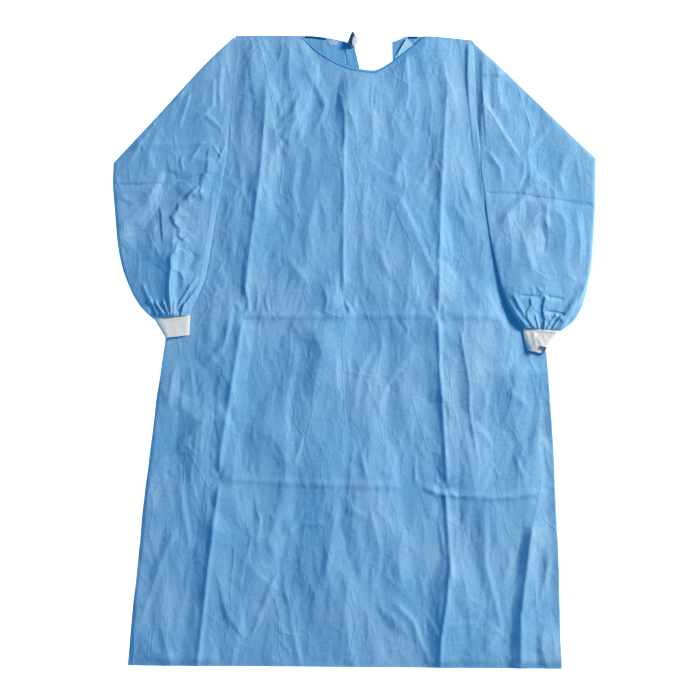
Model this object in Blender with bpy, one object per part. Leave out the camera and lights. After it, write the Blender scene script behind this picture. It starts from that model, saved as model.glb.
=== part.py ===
"""Long-sleeved surgical gown with knitted cuffs, laid out flat on its back with the sleeves folded down.

Metres. X runs across the gown, Y from the hem up to the neck, Z up from the surface that it lies on.
The origin is at the middle of the outline, on that surface. Every piece of cloth is a thin wall.
"""

import math
from collections import namedtuple

import bmesh
import bpy
from mathutils import Vector

# Cloth and seams
CLOTH = 0.0010              # wall of the nonwoven cloth
KNIT = 0.0016               # wall of the knitted cuffs
SEAM = 0.0003               # between pieces that touch
LAYER = CLOTH + SEAM        # one cloth and its seam gap

# Outline of the body
HEM_LEFT_Y = -0.599
HEM_RIGHT_Y = -0.605
SHOULDER_Y = 0.597
BodySection = namedtuple("BodySection", "y left right")
BODY = (
    BodySection(-0.620, -0.4330, 0.3940),
    BodySection(-0.399, -0.4114, 0.3876),
    BodySection(-0.209, -0.3905, 0.3791),
    BodySection(-0.057, -0.3705, 0.3696),
    BodySection(0.095, -0.3487, 0.3525),
    BodySection(0.228, -0.3316, 0.3335),
    BodySection(0.295, -0.3183, 0.3164),
    BodySection(0.342, -0.2841, 0.2803),
    BodySection(0.380, -0.2556, 0.2508),
    BodySection(0.418, -0.2461, 0.2404),
    BodySection(0.494, -0.2385, 0.2328),
    BodySection(0.551, -0.2337, 0.2290),
    BodySection(0.604, -0.2245, 0.2236),
)

# Front neckline: a scoop, wider on one side of its lowest point than on the other
NECK_X = 0.039
NECK_LOW_Y = 0.5310
NECK_LEFT = 0.139
NECK_RIGHT = 0.0940
NECK_LEFT_POWER = 2.1
NECK_RIGHT_POWER = 1.25
SHOULDER_RIGHT_Y = 0.5960
SHOULDER_TIP_DROP = 0.009   # how far the shoulder point on the right lies below its neck point
BINDING_WIDTH = 0.0060      # the bound edge of the front neckline

# Back panels: each centre-back edge runs from its neck corner to the hem
BackEdge = namedtuple("BackEdge", "y left right")
BACK_EDGES = (
    BackEdge(-0.620, -0.0260, -0.0120),
    BackEdge(-0.200, -0.0040, 0.0110),
    BackEdge(0.200, 0.0180, 0.0350),
    BackEdge(0.400, 0.0240, 0.0560),
    BackEdge(0.522, 0.0125, 0.0730),
    BackEdge(0.545, 0.0075, 0.0722),
    BackEdge(0.577, -0.0002, 0.0716),
    BackEdge(0.604, -0.0060, 0.0716),
)
BACK_LEFT_CORNER_Y = 0.579
BACK_LEFT_NECK_X = -0.100
BACK_RIGHT_CORNER_Y = 0.586
BACK_RIGHT_RISE = 0.030     # the right back's upper edge rises to the shoulder over this width
FLAP_POINT = (0.0750, 0.5520)
FLAP_HIGH = (0.0998, 0.5925)
FLAP_LOW_X = 0.1120
FLAP_CLEAR = 0.0016         # between the turned flap and the front's neckline
FACING_WIDTH = 0.021        # the centre-back edge that is turned in
FACING_TOP_Y = 0.5785
BACK_BINDING_WIDTH = 0.0045
BACK_BINDING_LEFT = (-0.0920, -0.0535)
BACK_BINDING_RIGHT = (0.1035, 0.1190)

# How a piece climbs over the edge of the one below it
FACING_STEP_START = 0.026
FACING_STEP_RUN = 0.035
SLEEVE_STEP_START = 0.045
SLEEVE_STEP_RUN = 0.045

# Sleeve sections from the armhole to the cuff: the outer and inner edge of the flattened tube
SleeveSection = namedtuple("SleeveSection", "outer_x outer_y inner_x inner_y loft")
SLEEVE_LEFT = (
    SleeveSection(-0.2268, 0.5962, -0.2408, 0.3800, 0.0095),
    SleeveSection(-0.2785, 0.5480, -0.2470, 0.3458, 0.0115),
    SleeveSection(-0.3225, 0.5015, -0.2518, 0.3135, 0.0125),
    SleeveSection(-0.3665, 0.4530, -0.2575, 0.2831, 0.0130),
    SleeveSection(-0.4130, 0.4033, -0.2632, 0.2527, 0.0130),
    SleeveSection(-0.4579, 0.3553, -0.2679, 0.2242, 0.0130),
    SleeveSection(-0.4589, 0.3116, -0.2727, 0.1957, 0.0140),
    SleeveSection(-0.4551, 0.2603, -0.2765, 0.1691, 0.0150),
    SleeveSection(-0.4503, 0.2052, -0.2822, 0.1406, 0.0160),
    SleeveSection(-0.4418, 0.1596, -0.2898, 0.1178, 0.0170),
    SleeveSection(-0.4285, 0.1216, -0.2974, 0.0998, 0.0170),
    SleeveSection(-0.4114, 0.0893, -0.3050, 0.0855, 0.0160),
    SleeveSection(-0.3933, 0.0684, -0.3097, 0.0751, 0.0140),
    SleeveSection(-0.3819, 0.0589, -0.3116, 0.0665, 0.0115),
)
SLEEVE_RIGHT = (
    SleeveSection(0.2233, 0.5862, 0.2366, 0.3762, 0.0095),
    SleeveSection(0.2689, 0.5453, 0.2413, 0.3306, 0.0115),
    SleeveSection(0.3145, 0.5016, 0.2461, 0.2983, 0.0120),
    SleeveSection(0.3620, 0.4560, 0.2499, 0.2698, 0.0125),
    SleeveSection(0.4095, 0.4104, 0.2537, 0.2432, 0.0130),
    SleeveSection(0.4589, 0.3639, 0.2575, 0.2166, 0.0135),
    SleeveSection(0.4580, 0.3192, 0.2622, 0.1919, 0.0145),
    SleeveSection(0.4570, 0.2660, 0.2679, 0.1653, 0.0155),
    SleeveSection(0.4541, 0.2090, 0.2736, 0.1368, 0.0170),
    SleeveSection(0.4503, 0.1596, 0.2803, 0.1121, 0.0180),
    SleeveSection(0.4418, 0.1140, 0.2888, 0.0893, 0.0180),
    SleeveSection(0.4315, 0.0798, 0.2993, 0.0684, 0.0165),
    SleeveSection(0.4165, 0.0551, 0.3097, 0.0532, 0.0135),
    SleeveSection(0.3930, 0.0361, 0.3192, 0.0428, 0.0110),
)
SIDE_BEND = 0.0026          # radius of the bend along a sleeve's two edges
EDGE_WALL = 0.0018          # wall at that bend, seen from above
GATHERS = 7                 # waves of gathered cloth across the upper side at the cuff
GATHER_HEIGHT = 0.0022
GATHER_SECTIONS = 3         # sections over which the gathers die out
UPPER_POINTS = 30
LOWER_POINTS = 10

# Cuff sections beyond the seam
CuffSection = namedtuple("CuffSection", "outer_x outer_y inner_x inner_y loft")
CUFF_LEFT = (
    CuffSection(-0.3755, 0.0470, -0.3119, 0.0552, 0.0100),
    CuffSection(-0.3696, 0.0361, -0.3126, 0.0447, 0.0100),
    CuffSection(-0.3591, 0.0181, -0.3139, 0.0238, 0.0100),
)
CUFF_RIGHT = (
    CuffSection(0.3810, 0.0245, 0.3208, 0.0315, 0.0105),
    CuffSection(0.3710, 0.0110, 0.3230, 0.0190, 0.0110),
    CuffSection(0.3600, -0.0075, 0.3287, -0.0010, 0.0125),
)

# Folds: a ridge from one end to the other, its run on each side, its height,
# and whether it dies out at each end
Fold = namedtuple("Fold", "x1 y1 x2 y2 left right height fade_1 fade_2")
FRONT_FOLDS = (
    Fold(-0.2994, -0.6200, -0.2565, -0.2480, 0.026, 0.060, 0.0105, False, True),
    Fold(-0.2594, -0.2450, -0.2119, 0.0640, 0.026, 0.055, 0.0100, True, True),
    Fold(-0.2100, 0.0800, -0.1644, 0.5700, 0.026, 0.060, 0.0085, True, True),
    Fold(0.1850, -0.5000, 0.1739, -0.2640, 0.024, 0.050, 0.0080, True, True),
    Fold(0.1758, -0.2600, 0.1596, 0.0630, 0.026, 0.045, 0.0095, True, True),
    Fold(0.1606, 0.0720, 0.1777, 0.5560, 0.026, 0.045, 0.0085, True, True),
    Fold(0.3100, -0.6200, 0.3335, -0.2900, 0.018, 0.050, 0.0090, False, True),
    Fold(-0.0352, -0.2400, -0.0340, 0.0600, 0.040, 0.060, 0.0055, True, True),
    Fold(-0.0200, 0.0855, -0.0105, 0.4850, 0.035, 0.050, 0.0060, True, True),
    Fold(0.2404, -0.2450, 0.1967, 0.0600, 0.040, 0.030, 0.0055, True, True),
    Fold(0.1560, -0.6200, 0.1640, -0.4000, 0.050, 0.025, 0.0075, False, True),
    Fold(-0.0800, -0.6200, -0.0150, -0.3300, 0.060, 0.045, 0.0060, False, True),
    Fold(-0.2080, 0.0660, 0.1590, 0.0680, 0.030, 0.022, 0.0040, True, True),
    Fold(-0.3900, -0.2500, 0.3750, -0.2640, 0.030, 0.022, 0.0040, True, True),
    Fold(0.1020, 0.3600, 0.0960, 0.5550, 0.020, 0.022, 0.0060, True, True),
)
SLEEVE_LEFT_FOLDS = (
    Fold(-0.3440, 0.0600, -0.3320, 0.2650, 0.020, 0.040, 0.0080, False, True),
    Fold(-0.4400, 0.3120, -0.2650, 0.3330, 0.020, 0.030, 0.0040, True, True),
    Fold(-0.4000, 0.3900, -0.2450, 0.4400, 0.030, 0.030, 0.0035, True, True),
    Fold(-0.4100, 0.1200, -0.4000, 0.2900, 0.030, 0.030, 0.0035, True, True),
)
SLEEVE_RIGHT_FOLDS = (
    Fold(0.3450, 0.0500, 0.3560, 0.1500, 0.020, 0.025, 0.0045, False, True),
    Fold(0.2850, 0.3300, 0.4400, 0.3120, 0.030, 0.022, 0.0040, True, True),
    Fold(0.3400, 0.2600, 0.4200, 0.4000, 0.040, 0.040, 0.0050, True, True),
    Fold(0.2500, 0.5500, 0.2700, 0.3500, 0.030, 0.030, 0.0040, True, True),
)
FADE_SHARE = 0.16           # share of a fold's length over which an end dies out
FLAT_MARGIN = 0.030         # the front stays flat this far round a sleeve that lies on it
FLAT_RUN = 0.030

# Grid of the front panel
FRONT_COLUMNS = 36
FRONT_ROWS = 36
Crowd = namedtuple("Crowd", "at spread weight")
COLUMN_CROWDS = (
    Crowd(0.175, 0.05, 1.6),
    Crowd(0.680, 0.05, 2.2),
    Crowd(0.750, 0.05, 1.4),
    Crowd(0.440, 0.08, 0.7),
)
ROW_CROWDS = (
    Crowd(0.29, 0.03, 1.2),
    Crowd(0.56, 0.03, 1.2),
    Crowd(0.99, 0.04, 1.5),
)
BACK_COLUMNS = 7
BACK_ROWS = 18

# Neck closure: a short strap on the left back corner that has curled up, with a hook patch on it
TAB_FOOT = Vector((-0.0085, 0.5755, 0.0))
TAB_HEAD = Vector((0.0000, 0.6050, 0.0))
TAB_RIGHT = 0.0115          # from its crest to its edge on each side, seen from above
TAB_LEFT = 0.0060
TAB_HEIGHT = 0.0085
TAB_SKEW = 1.6              # moves the crest towards the left edge
TAB_SHORT = 0.72            # length of its right edge as a share of its left one
TAB_STEPS = 8
HOOK_PATCH = 0.0012
HOOK_ALONG = (0.10, 0.90)   # the patch's share of the strap's length and width
HOOK_ACROSS = (0.06, 0.60)
LOOP_PATCH_CENTRE = (-0.0410, 0.5838)
LOOP_PATCH_HALF = (0.0095, 0.0062)
LOOP_PATCH_THICK = 0.0010
LOOP_PATCH_SIDES = 20

# Colours, linear
BLUE = (0.170, 0.400, 0.690)
DEEP_BLUE = (0.080, 0.280, 0.560)
WHITE = (0.700, 0.720, 0.750)


def clear_scene():
    for thing in list(bpy.data.objects):
        bpy.data.objects.remove(thing)


def smooth(t):
    t = max(0.0, min(1.0, t))
    return t * t * (3 - 2 * t)


def between(a, b, t):
    return a + (b - a) * t


def read(table, y, column):
    """A column of a table at y, on a curve through its rows."""
    last = len(table) - 2
    i = next((k for k in range(last + 1) if y <= table[k + 1].y), last)
    rows = [table[max(0, min(last + 1, i + k))] for k in (-1, 0, 1, 2)]
    y0, y1, y2, y3 = (row.y for row in rows)
    v0, v1, v2, v3 = (getattr(row, column) for row in rows)
    span = y2 - y1
    t = max(0.0, min(1.0, (y - y1) / span))
    slope_1 = (v2 - v0) / (y2 - y0) * span
    slope_2 = (v3 - v1) / (y3 - y1) * span
    return (
        (2 * t**3 - 3 * t**2 + 1) * v1
        + (t**3 - 2 * t**2 + t) * slope_1
        + (3 * t**2 - 2 * t**3) * v2
        + (t**3 - t**2) * slope_2
    )


def spaced(count, crowds):
    """Shares from 0 to 1, closer together near the crowds."""
    steps = 400
    total = [0.0]
    for k in range(steps):
        at = (k + 0.5) / steps
        weight = sum(c.weight * math.exp(-(((at - c.at) / c.spread) ** 2)) for c in crowds)
        total.append(total[-1] + 1 + weight)
    shares = []
    k = 0
    for i in range(count + 1):
        goal = total[-1] * i / count
        while k < steps - 1 and total[k + 1] < goal:
            k += 1
        shares.append((k + (goal - total[k]) / (total[k + 1] - total[k])) / steps)
    return shares


def fold_height(fold, x, y):
    """Height of one ridge above (x, y): straight sides that meet in a soft crease."""
    run_x, run_y = fold.x2 - fold.x1, fold.y2 - fold.y1
    length = math.hypot(run_x, run_y)
    along = ((x - fold.x1) * run_x + (y - fold.y1) * run_y) / length**2
    across = ((x - fold.x1) * run_y - (y - fold.y1) * run_x) / length
    if not 0 <= along <= 1:
        return 0.0
    reach = fold.right if across > 0 else fold.left
    side = max(0.0, 1 - abs(across) / reach)
    fade = 1.0
    if fold.fade_1:
        fade *= smooth(along / FADE_SHARE)
    if fold.fade_2:
        fade *= smooth((1 - along) / FADE_SHARE)
    return fold.height * fade * side ** 1.25


def relief(folds, x, y):
    return sum(fold_height(fold, x, y) for fold in folds)


def hem_y(x):
    left, right = read(BODY, HEM_LEFT_Y, "left"), read(BODY, HEM_RIGHT_Y, "right")
    return between(HEM_LEFT_Y, HEM_RIGHT_Y, (x - left) / (right - left))


def front_top_y(x):
    """The front's upper edge: shoulder, neck scoop, shoulder."""
    if x < NECK_X - NECK_LEFT:
        return SHOULDER_Y
    if x > NECK_X + NECK_RIGHT:
        tip = read(BODY, SHOULDER_Y, "right")
        share = (x - NECK_X - NECK_RIGHT) / (tip - NECK_X - NECK_RIGHT)
        return SHOULDER_RIGHT_Y - SHOULDER_TIP_DROP * smooth(share)
    if x < NECK_X:
        share, power, top = (NECK_X - x) / NECK_LEFT, NECK_LEFT_POWER, SHOULDER_Y
    else:
        share, power, top = (x - NECK_X) / NECK_RIGHT, NECK_RIGHT_POWER, SHOULDER_RIGHT_Y
    return NECK_LOW_Y + (top - NECK_LOW_Y) * share**power


def step(distance, start, run):
    """1 up to start, then down to 0 over run."""
    return 1 - smooth((distance - start) / run)


def front_z(x, y):
    """Underside of the front where it lies flat on the back panels and the turned edge."""
    edge = read(BACK_EDGES, y, "left")
    over_facing = step(edge - FACING_WIDTH - x, FACING_STEP_START, FACING_STEP_RUN)
    over_facing *= step(x - edge, FACING_STEP_START, FACING_STEP_RUN)
    return LAYER + LAYER * over_facing


def sleeve_inner_x(sections, y):
    """Plan position of a sleeve's inner edge at y: its first section, then its inner points."""
    line = [(s.inner_x, s.inner_y) for s in sections]
    line.insert(0, (sections[0].outer_x, sections[0].outer_y))
    for (x1, y1), (x2, y2) in zip(line, line[1:]):
        if y2 <= y <= y1:
            return between(x1, x2, (y1 - y) / (y1 - y2))
    return line[0][0] if y > line[0][1] else line[-1][0]


def clear_of_sleeves(x, y):
    """0 where a sleeve or cuff lies on the front, 1 well away from them."""
    lowest = min(CUFF_LEFT[-1].outer_y, CUFF_RIGHT[-1].outer_y)
    if y < lowest:
        down = (lowest - y - FLAT_MARGIN) / FLAT_RUN
    else:
        down = 0.0
    left = (x - sleeve_inner_x(SLEEVE_LEFT, y) - FLAT_MARGIN) / FLAT_RUN
    right = (sleeve_inner_x(SLEEVE_RIGHT, y) - x - FLAT_MARGIN) / FLAT_RUN
    return smooth(max(down, min(left, right)))


def make_material(name, colour, roughness):
    material = bpy.data.materials.new(name)
    material.use_nodes = True
    shader = material.node_tree.nodes["Principled BSDF"]
    shader.inputs["Base Color"].default_value = (*colour, 1)
    shader.inputs["Roughness"].default_value = roughness
    shader.inputs["Metallic"].default_value = 0
    return material


def make_object(name, bm, material):
    bmesh.ops.recalc_face_normals(bm, faces=bm.faces)
    mesh = bpy.data.meshes.new(name)
    bm.to_mesh(mesh)
    bm.free()
    mesh.materials.append(material)
    thing = bpy.data.objects.new(name, mesh)
    bpy.context.scene.collection.objects.link(thing)
    return thing


def sheet(name, grid, thickness, material):
    """A wall whose underside has the grid's points."""
    bm = bmesh.new()
    rows = [[bm.verts.new(point) for point in row] for row in grid]
    for low, high in zip(rows, rows[1:]):
        for i in range(len(low) - 1):
            bm.faces.new((low[i], low[i + 1], high[i + 1], high[i]))
    thing = make_object(name, bm, material)
    if thing.data.polygons[0].normal.z < 0:
        thing.data.flip_normals()
    wall = thing.modifiers.new("Wall", "SOLIDIFY")
    wall.thickness = thickness
    wall.offset = 1
    return thing


def tube(name, outer, inner, material):
    """An open-ended wall between outer and inner rings of equal counts."""
    bm = bmesh.new()
    skins = [[[bm.verts.new(p) for p in ring] for ring in rings] for rings in (outer, inner)]
    for rings in skins:
        for near, far in zip(rings, rings[1:]):
            for i in range(len(near)):
                j = (i + 1) % len(near)
                bm.faces.new((near[i], near[j], far[j], far[i]))
    for end in (0, -1):
        out, into = skins[0][end], skins[1][end]
        for i in range(len(out)):
            j = (i + 1) % len(out)
            bm.faces.new((out[i], out[j], into[j], into[i]))
    return make_object(name, bm, material)


def across_body(u, y):
    return between(read(BODY, y, "left"), read(BODY, y, "right"), u)


def top_line(u):
    """Upper edge of the front at column share u, and the inward direction there."""
    x = across_body(u, SHOULDER_Y)
    reach = 0.004
    slope = (front_top_y(x + reach) - front_top_y(x - reach)) / (2 * reach)
    inward = Vector((slope, -1.0)).normalized()
    return Vector((x, front_top_y(x))), inward


def front_grid():
    """Underside of the front panel, from the hem to the neckline."""
    columns = spaced(FRONT_COLUMNS, COLUMN_CROWDS)
    rows = spaced(FRONT_ROWS, ROW_CROWDS)
    lines = [[] for _ in range(len(rows) + 1)]
    for u in columns:
        top, inward = top_line(u)
        goal = top + inward * BINDING_WIDTH
        low = hem_y(across_body(u, HEM_LEFT_Y))
        drift = goal.x - across_body(u, goal.y)
        places = []
        for v in rows:
            y = between(low, goal.y, v)
            places.append(Vector((across_body(u, y) + drift * v**8, y)))
        for line, place in zip(lines, places + [top]):
            lift = relief(FRONT_FOLDS, *place) * clear_of_sleeves(*place)
            line.append(Vector((*place, front_z(*place) + lift)))
    return lines


def back_top_left_y(x):
    share = max(0.0, 1 - x / BACK_LEFT_NECK_X)
    return SHOULDER_Y - (SHOULDER_Y - BACK_LEFT_CORNER_Y) * share**2


def back_top_right_y(x):
    rise = smooth((x - BACK_EDGES[-1].right) / BACK_RIGHT_RISE)
    return between(BACK_RIGHT_CORNER_Y, front_top_y_outside(x), rise)


def front_top_y_outside(x):
    """The shoulder line alone, carried on across the neck."""
    return SHOULDER_RIGHT_Y if x < NECK_X + NECK_RIGHT else front_top_y(x)


def back_grid(side):
    """Underside of one back panel, from its side seam to its centre-back edge."""
    top_y = back_top_left_y if side == "left" else back_top_right_y
    grid = []
    for r in range(BACK_ROWS + 1):
        line = []
        for i in range(BACK_COLUMNS + 1):
            share = i / BACK_COLUMNS
            x_low = between(read(BODY, HEM_LEFT_Y, side), read(BACK_EDGES, HEM_LEFT_Y, side), share)
            x_high = between(read(BODY, SHOULDER_Y, side), read(BACK_EDGES, SHOULDER_Y, side), share)
            y = between(hem_y(x_low), top_y(x_high), r / BACK_ROWS)
            x = between(read(BODY, y, side), read(BACK_EDGES, y, side), share)
            line.append(Vector((x, y, 0.0)))
        grid.append(line)
    return grid


def facing_grid():
    """The turned centre-back edge on the inner face of the left back panel."""
    steps = 14
    grid = []
    for r in range(steps + 1):
        y = between(HEM_LEFT_Y - 0.002, FACING_TOP_Y, r / steps)
        edge = read(BACK_EDGES, y, "left") - SEAM
        narrowing = between(1.0, 0.85, smooth((y - 0.53) / 0.04))
        line = []
        for share in (0.0, 0.5, 1.0):
            line.append(Vector((edge - FACING_WIDTH * narrowing * (1 - share), y, LAYER)))
        grid.append(line)
    return grid


def edge_strip(line, span, width, height):
    """A band along part of a panel's upper edge."""
    steps = 5
    grid = [[], []]
    for i in range(steps + 1):
        x = between(*span, i / steps)
        for p, q in zip(line, line[1:]):
            if min(p.x, q.x) <= x <= max(p.x, q.x):
                y = between(p.y, q.y, (x - p.x) / (q.x - p.x))
        grid[0].append(Vector((x, y - width, height)))
        grid[1].append(Vector((x, y, height)))
    return grid


def lifted(points, height):
    return [Vector((p.x, p.y, p.z + height)) for p in points]


def strip_of(grid, first, last, height):
    """The top row of cells of a grid between two columns, moved up."""
    return [lifted(row[first : last + 1], height) for row in grid[-2:]]


def sleeve_low_z(side, x, y):
    """Underside of a sleeve: on the body where it crosses it, down on the surface further out."""
    edge = read(BODY, y, side)
    past = edge - x if side == "left" else x - edge
    return 2 * LAYER * step(past, SLEEVE_STEP_START, SLEEVE_STEP_RUN)


def bulge(share):
    """Section of a flattened tube: 0 at its two edges, level in between."""
    return math.sqrt(max(0.0, 1 - abs(2 * share - 1) ** 8))


def gather_wave(share, strength):
    return GATHER_HEIGHT * strength * 0.5 * (1 - math.cos(2 * math.pi * GATHERS * share))


def ring(section, side, inset, wall, folds, strength, low_z=None):
    """One closed section: along the upper side, then back along the lower one."""
    outer = Vector((section.outer_x, section.outer_y))
    inner = Vector((section.inner_x, section.inner_y))
    across = (inner - outer).normalized()
    start, end = outer + across * inset, inner - across * inset
    points = []
    for i in range(UPPER_POINTS + 1):
        share = i / UPPER_POINTS
        eased = share - 0.045 * math.sin(4 * math.pi * share)
        place = start.lerp(end, eased)
        low = sleeve_low_z(side, *place) if low_z is None else low_z
        high = (section.loft - SIDE_BEND - wall) * bulge(eased)
        extra = (relief(folds, *place) + gather_wave(eased, strength)) * bulge(eased)
        points.append(Vector((*place, low + SIDE_BEND + high + extra)))
    for i in range(1, LOWER_POINTS):
        share = 1 - i / LOWER_POINTS
        place = start.lerp(end, share)
        low = sleeve_low_z(side, *place) if low_z is None else low_z
        down = (SIDE_BEND - wall) * bulge(share)
        points.append(Vector((*place, low + SIDE_BEND - down)))
    return points


def build_sleeve(side, sections, folds, material):
    last = len(sections) - 1
    outer, inner = [], []
    for k, section in enumerate(sections):
        strength = max(0.0, 1 - (last - k) / GATHER_SECTIONS)
        outer.append(ring(section, side, 0.0, 0.0, folds, strength))
        inner.append(ring(section, side, EDGE_WALL, CLOTH, folds, strength))
    return tube("sleeve_" + side, outer, inner, material)


def build_cuff(side, sleeve, sections, material):
    """The cuff starts one seam gap beyond the sleeve's last section."""
    seam = sleeve[-1]
    away = Vector((sections[0].outer_x - seam.outer_x, sections[0].outer_y - seam.outer_y))
    away = away.normalized() * SEAM * 1.6
    first = CuffSection(
        seam.outer_x + away.x,
        seam.outer_y + away.y,
        seam.inner_x + away.x,
        seam.inner_y + away.y,
        seam.loft,
    )
    outer, inner = [], []
    for section in (first, *sections):
        outer.append(ring(section, side, 0.0, 0.0, (), 0.0, 2 * LAYER))
        inner.append(ring(section, side, EDGE_WALL + KNIT - CLOTH, KNIT, (), 0.0, 2 * LAYER))
    return tube("cuff_" + side, outer, inner, material)


def strap_grid(span_along, span_across, offset):
    """The curled neck strap, or a patch on it: an arch across, from its foot along to its head."""
    along = (TAB_HEAD - TAB_FOOT).normalized()
    beside = Vector((along.y, -along.x, 0))
    grid = []
    for r in range(TAB_STEPS + 1):
        line = []
        for c in range(TAB_STEPS + 1):
            b = between(*span_across, c / TAB_STEPS)
            a = between(*span_along, r / TAB_STEPS) * between(TAB_SHORT, 1.0, b)
            arch = 2 * b**TAB_SKEW - 1
            plan = between(TAB_RIGHT, -TAB_LEFT, b)
            slope = -4 * TAB_HEIGHT * arch * TAB_SKEW * max(b, 0.02) ** (TAB_SKEW - 1)
            normal = (beside * slope + Vector((0, 0, TAB_RIGHT + TAB_LEFT))).normalized()
            height = 2 * LAYER + TAB_HEIGHT * (1 - arch**2)
            place = TAB_FOOT.lerp(TAB_HEAD, a) + beside * plan + Vector((0, 0, height))
            line.append(place + normal * offset)
        grid.append(line)
    return grid


def flap_grid():
    """The right back's turned edge, folded into a leaf that widens up to the neck."""
    steps = 6
    grid = [[], []]
    for i in range(steps + 1):
        share = i / steps
        low_x = between(FLAP_POINT[0] + 0.001, FLAP_LOW_X, share)
        high_x = between(FLAP_POINT[0], FLAP_HIGH[0], share)
        high_y = between(FLAP_POINT[1], FLAP_HIGH[1], share)
        grid[0].append(Vector((low_x, front_top_y(low_x) + FLAP_CLEAR, LAYER)))
        grid[1].append(Vector((high_x, high_y, LAYER)))
    return grid


def build_loop_patch(material):
    """An oval patch on the inner face of the left back, at its neck edge."""
    bm = bmesh.new()
    bmesh.ops.create_circle(bm, cap_ends=True, segments=LOOP_PATCH_SIDES, radius=1.0)
    for vert in bm.verts:
        vert.co.x = LOOP_PATCH_CENTRE[0] + vert.co.x * LOOP_PATCH_HALF[0]
        vert.co.y = LOOP_PATCH_CENTRE[1] + vert.co.y * LOOP_PATCH_HALF[1]
        vert.co.z = LAYER
    made = bmesh.ops.extrude_face_region(bm, geom=bm.faces[:])
    for item in made["geom"]:
        if isinstance(item, bmesh.types.BMVert):
            item.co.z += LOOP_PATCH_THICK
    return make_object("loop_patch", bm, material)


def main():
    clear_scene()
    blue = make_material("nonwoven_blue", BLUE, 0.55)
    deep = make_material("binding_blue", DEEP_BLUE, 0.60)
    white = make_material("knit_white", WHITE, 0.85)

    front = front_grid()
    sheet("front_panel", front, CLOTH, blue)
    back_left, back_right = back_grid("left"), back_grid("right")
    sheet("back_panel_left", back_left, CLOTH, blue)
    sheet("back_panel_right", back_right, CLOTH, blue)
    sheet("back_facing_left", facing_grid(), CLOTH, blue)

    build_sleeve("left", SLEEVE_LEFT, SLEEVE_LEFT_FOLDS, blue)
    build_sleeve("right", SLEEVE_RIGHT, SLEEVE_RIGHT_FOLDS, blue)
    build_cuff("left", SLEEVE_LEFT, CUFF_LEFT, white)
    build_cuff("right", SLEEVE_RIGHT, CUFF_RIGHT, white)

    neck = [i for i, p in enumerate(front[-1]) if -NECK_LEFT <= p.x - NECK_X <= NECK_RIGHT]
    sheet("neck_binding_front", strip_of(front, neck[0], neck[-1], LAYER), CLOTH, deep)
    left_band = edge_strip(back_left[-1], BACK_BINDING_LEFT, BACK_BINDING_WIDTH, LAYER)
    right_band = edge_strip(back_right[-1], BACK_BINDING_RIGHT, BACK_BINDING_WIDTH, LAYER)
    sheet("neck_binding_left", left_band, CLOTH, deep)
    sheet("neck_binding_right", right_band, CLOTH, deep)
    sheet("back_facing_right", flap_grid(), CLOTH, blue)
    sheet("neck_tab", strap_grid((0, 1), (0, 1), 0.0), CLOTH, deep)
    sheet("hook_patch", strap_grid(HOOK_ALONG, HOOK_ACROSS, LAYER), HOOK_PATCH, white)
    build_loop_patch(white)


main()
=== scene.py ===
import math
from collections import namedtuple

import bpy
import numpy as np
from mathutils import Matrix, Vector
from mathutils.geometry import delaunay_2d_cdt


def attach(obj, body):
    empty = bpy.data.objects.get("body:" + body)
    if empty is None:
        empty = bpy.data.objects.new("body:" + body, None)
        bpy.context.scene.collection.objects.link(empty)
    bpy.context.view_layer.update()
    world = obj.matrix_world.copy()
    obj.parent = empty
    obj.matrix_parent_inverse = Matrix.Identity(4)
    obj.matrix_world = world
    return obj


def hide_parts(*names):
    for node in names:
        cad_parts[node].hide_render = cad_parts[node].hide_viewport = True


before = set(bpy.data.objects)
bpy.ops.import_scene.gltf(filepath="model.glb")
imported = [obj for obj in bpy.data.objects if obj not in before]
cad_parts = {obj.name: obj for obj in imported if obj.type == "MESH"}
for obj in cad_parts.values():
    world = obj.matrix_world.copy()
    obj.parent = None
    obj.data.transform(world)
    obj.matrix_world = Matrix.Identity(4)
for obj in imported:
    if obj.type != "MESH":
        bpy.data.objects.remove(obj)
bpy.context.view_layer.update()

# Surgical gown of thin blue spunbonded cloth with white knitted cuffs, laid flat and seen from above.
# Sizes in the tables are millimetres, X across, Y towards the neck, Z up from the table.
mm = 0.001

# The light comes from the right and a little from the neck, so a crease has a lit side and a shaded side
lightAcross = np.array((0.94, 0.34))

# A crease slopes over lit on the light's side and over shade on the other; fades are shares of its length
Crease = namedtuple("Crease", "path lit shade height fadeStart fadeEnd")
Outline = namedtuple("Outline", "y left right")
Section = namedtuple("Section", "outerX outerY innerX innerY loft")


def readTable(kind, *rows):
    return tuple(kind(*row) for row in rows)


def readCreases(*rows):
    # each row: lit, shade, height, fadeStart, fadeEnd, then the points of the path
    return tuple(Crease(row[5:], *row[:5]) for row in rows)


def ridge(broad, sharp, *path):
    # a packing fold: a broad ridge and a sharp line along the same path
    return (*broad, *path), (*sharp, *path)


def star(centre, *spokes):
    # puckers where two packing folds cross; each spoke: where it starts, and its height
    return tuple((5.2, 6, height, 0.3, 0.4, start, centre) for start, height in spokes)


def smooth(t):
    t = np.clip(t, 0, 1)
    return t * t * (3 - 2 * t)


def between(a, b, t):
    return a + (b - a) * t


def curveThrough(at, values, where, corner=None):
    # smooth curve through values, with a sharp turn at the corner index
    at, values = np.asarray(at, float), np.asarray(values, float)
    slopes = np.gradient(values, at)
    k = np.clip(np.searchsorted(at, where, side="right") - 1, 0, len(at) - 2)
    span = at[k + 1] - at[k]
    t = np.clip((where - at[k]) / span, 0, 1)
    start, end = slopes[k], slopes[k + 1]
    if corner is not None:
        straight = (values[k + 1] - values[k]) / span
        start = np.where(k == corner, straight, start)
        end = np.where(k + 1 == corner, straight, end)
    return (
        (2 * t**3 - 3 * t**2 + 1) * values[k]
        + (t**3 - 2 * t**2 + t) * span * start
        + (3 * t**2 - 2 * t**3) * values[k + 1]
        + (t**3 - t**2) * span * end
    )


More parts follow.
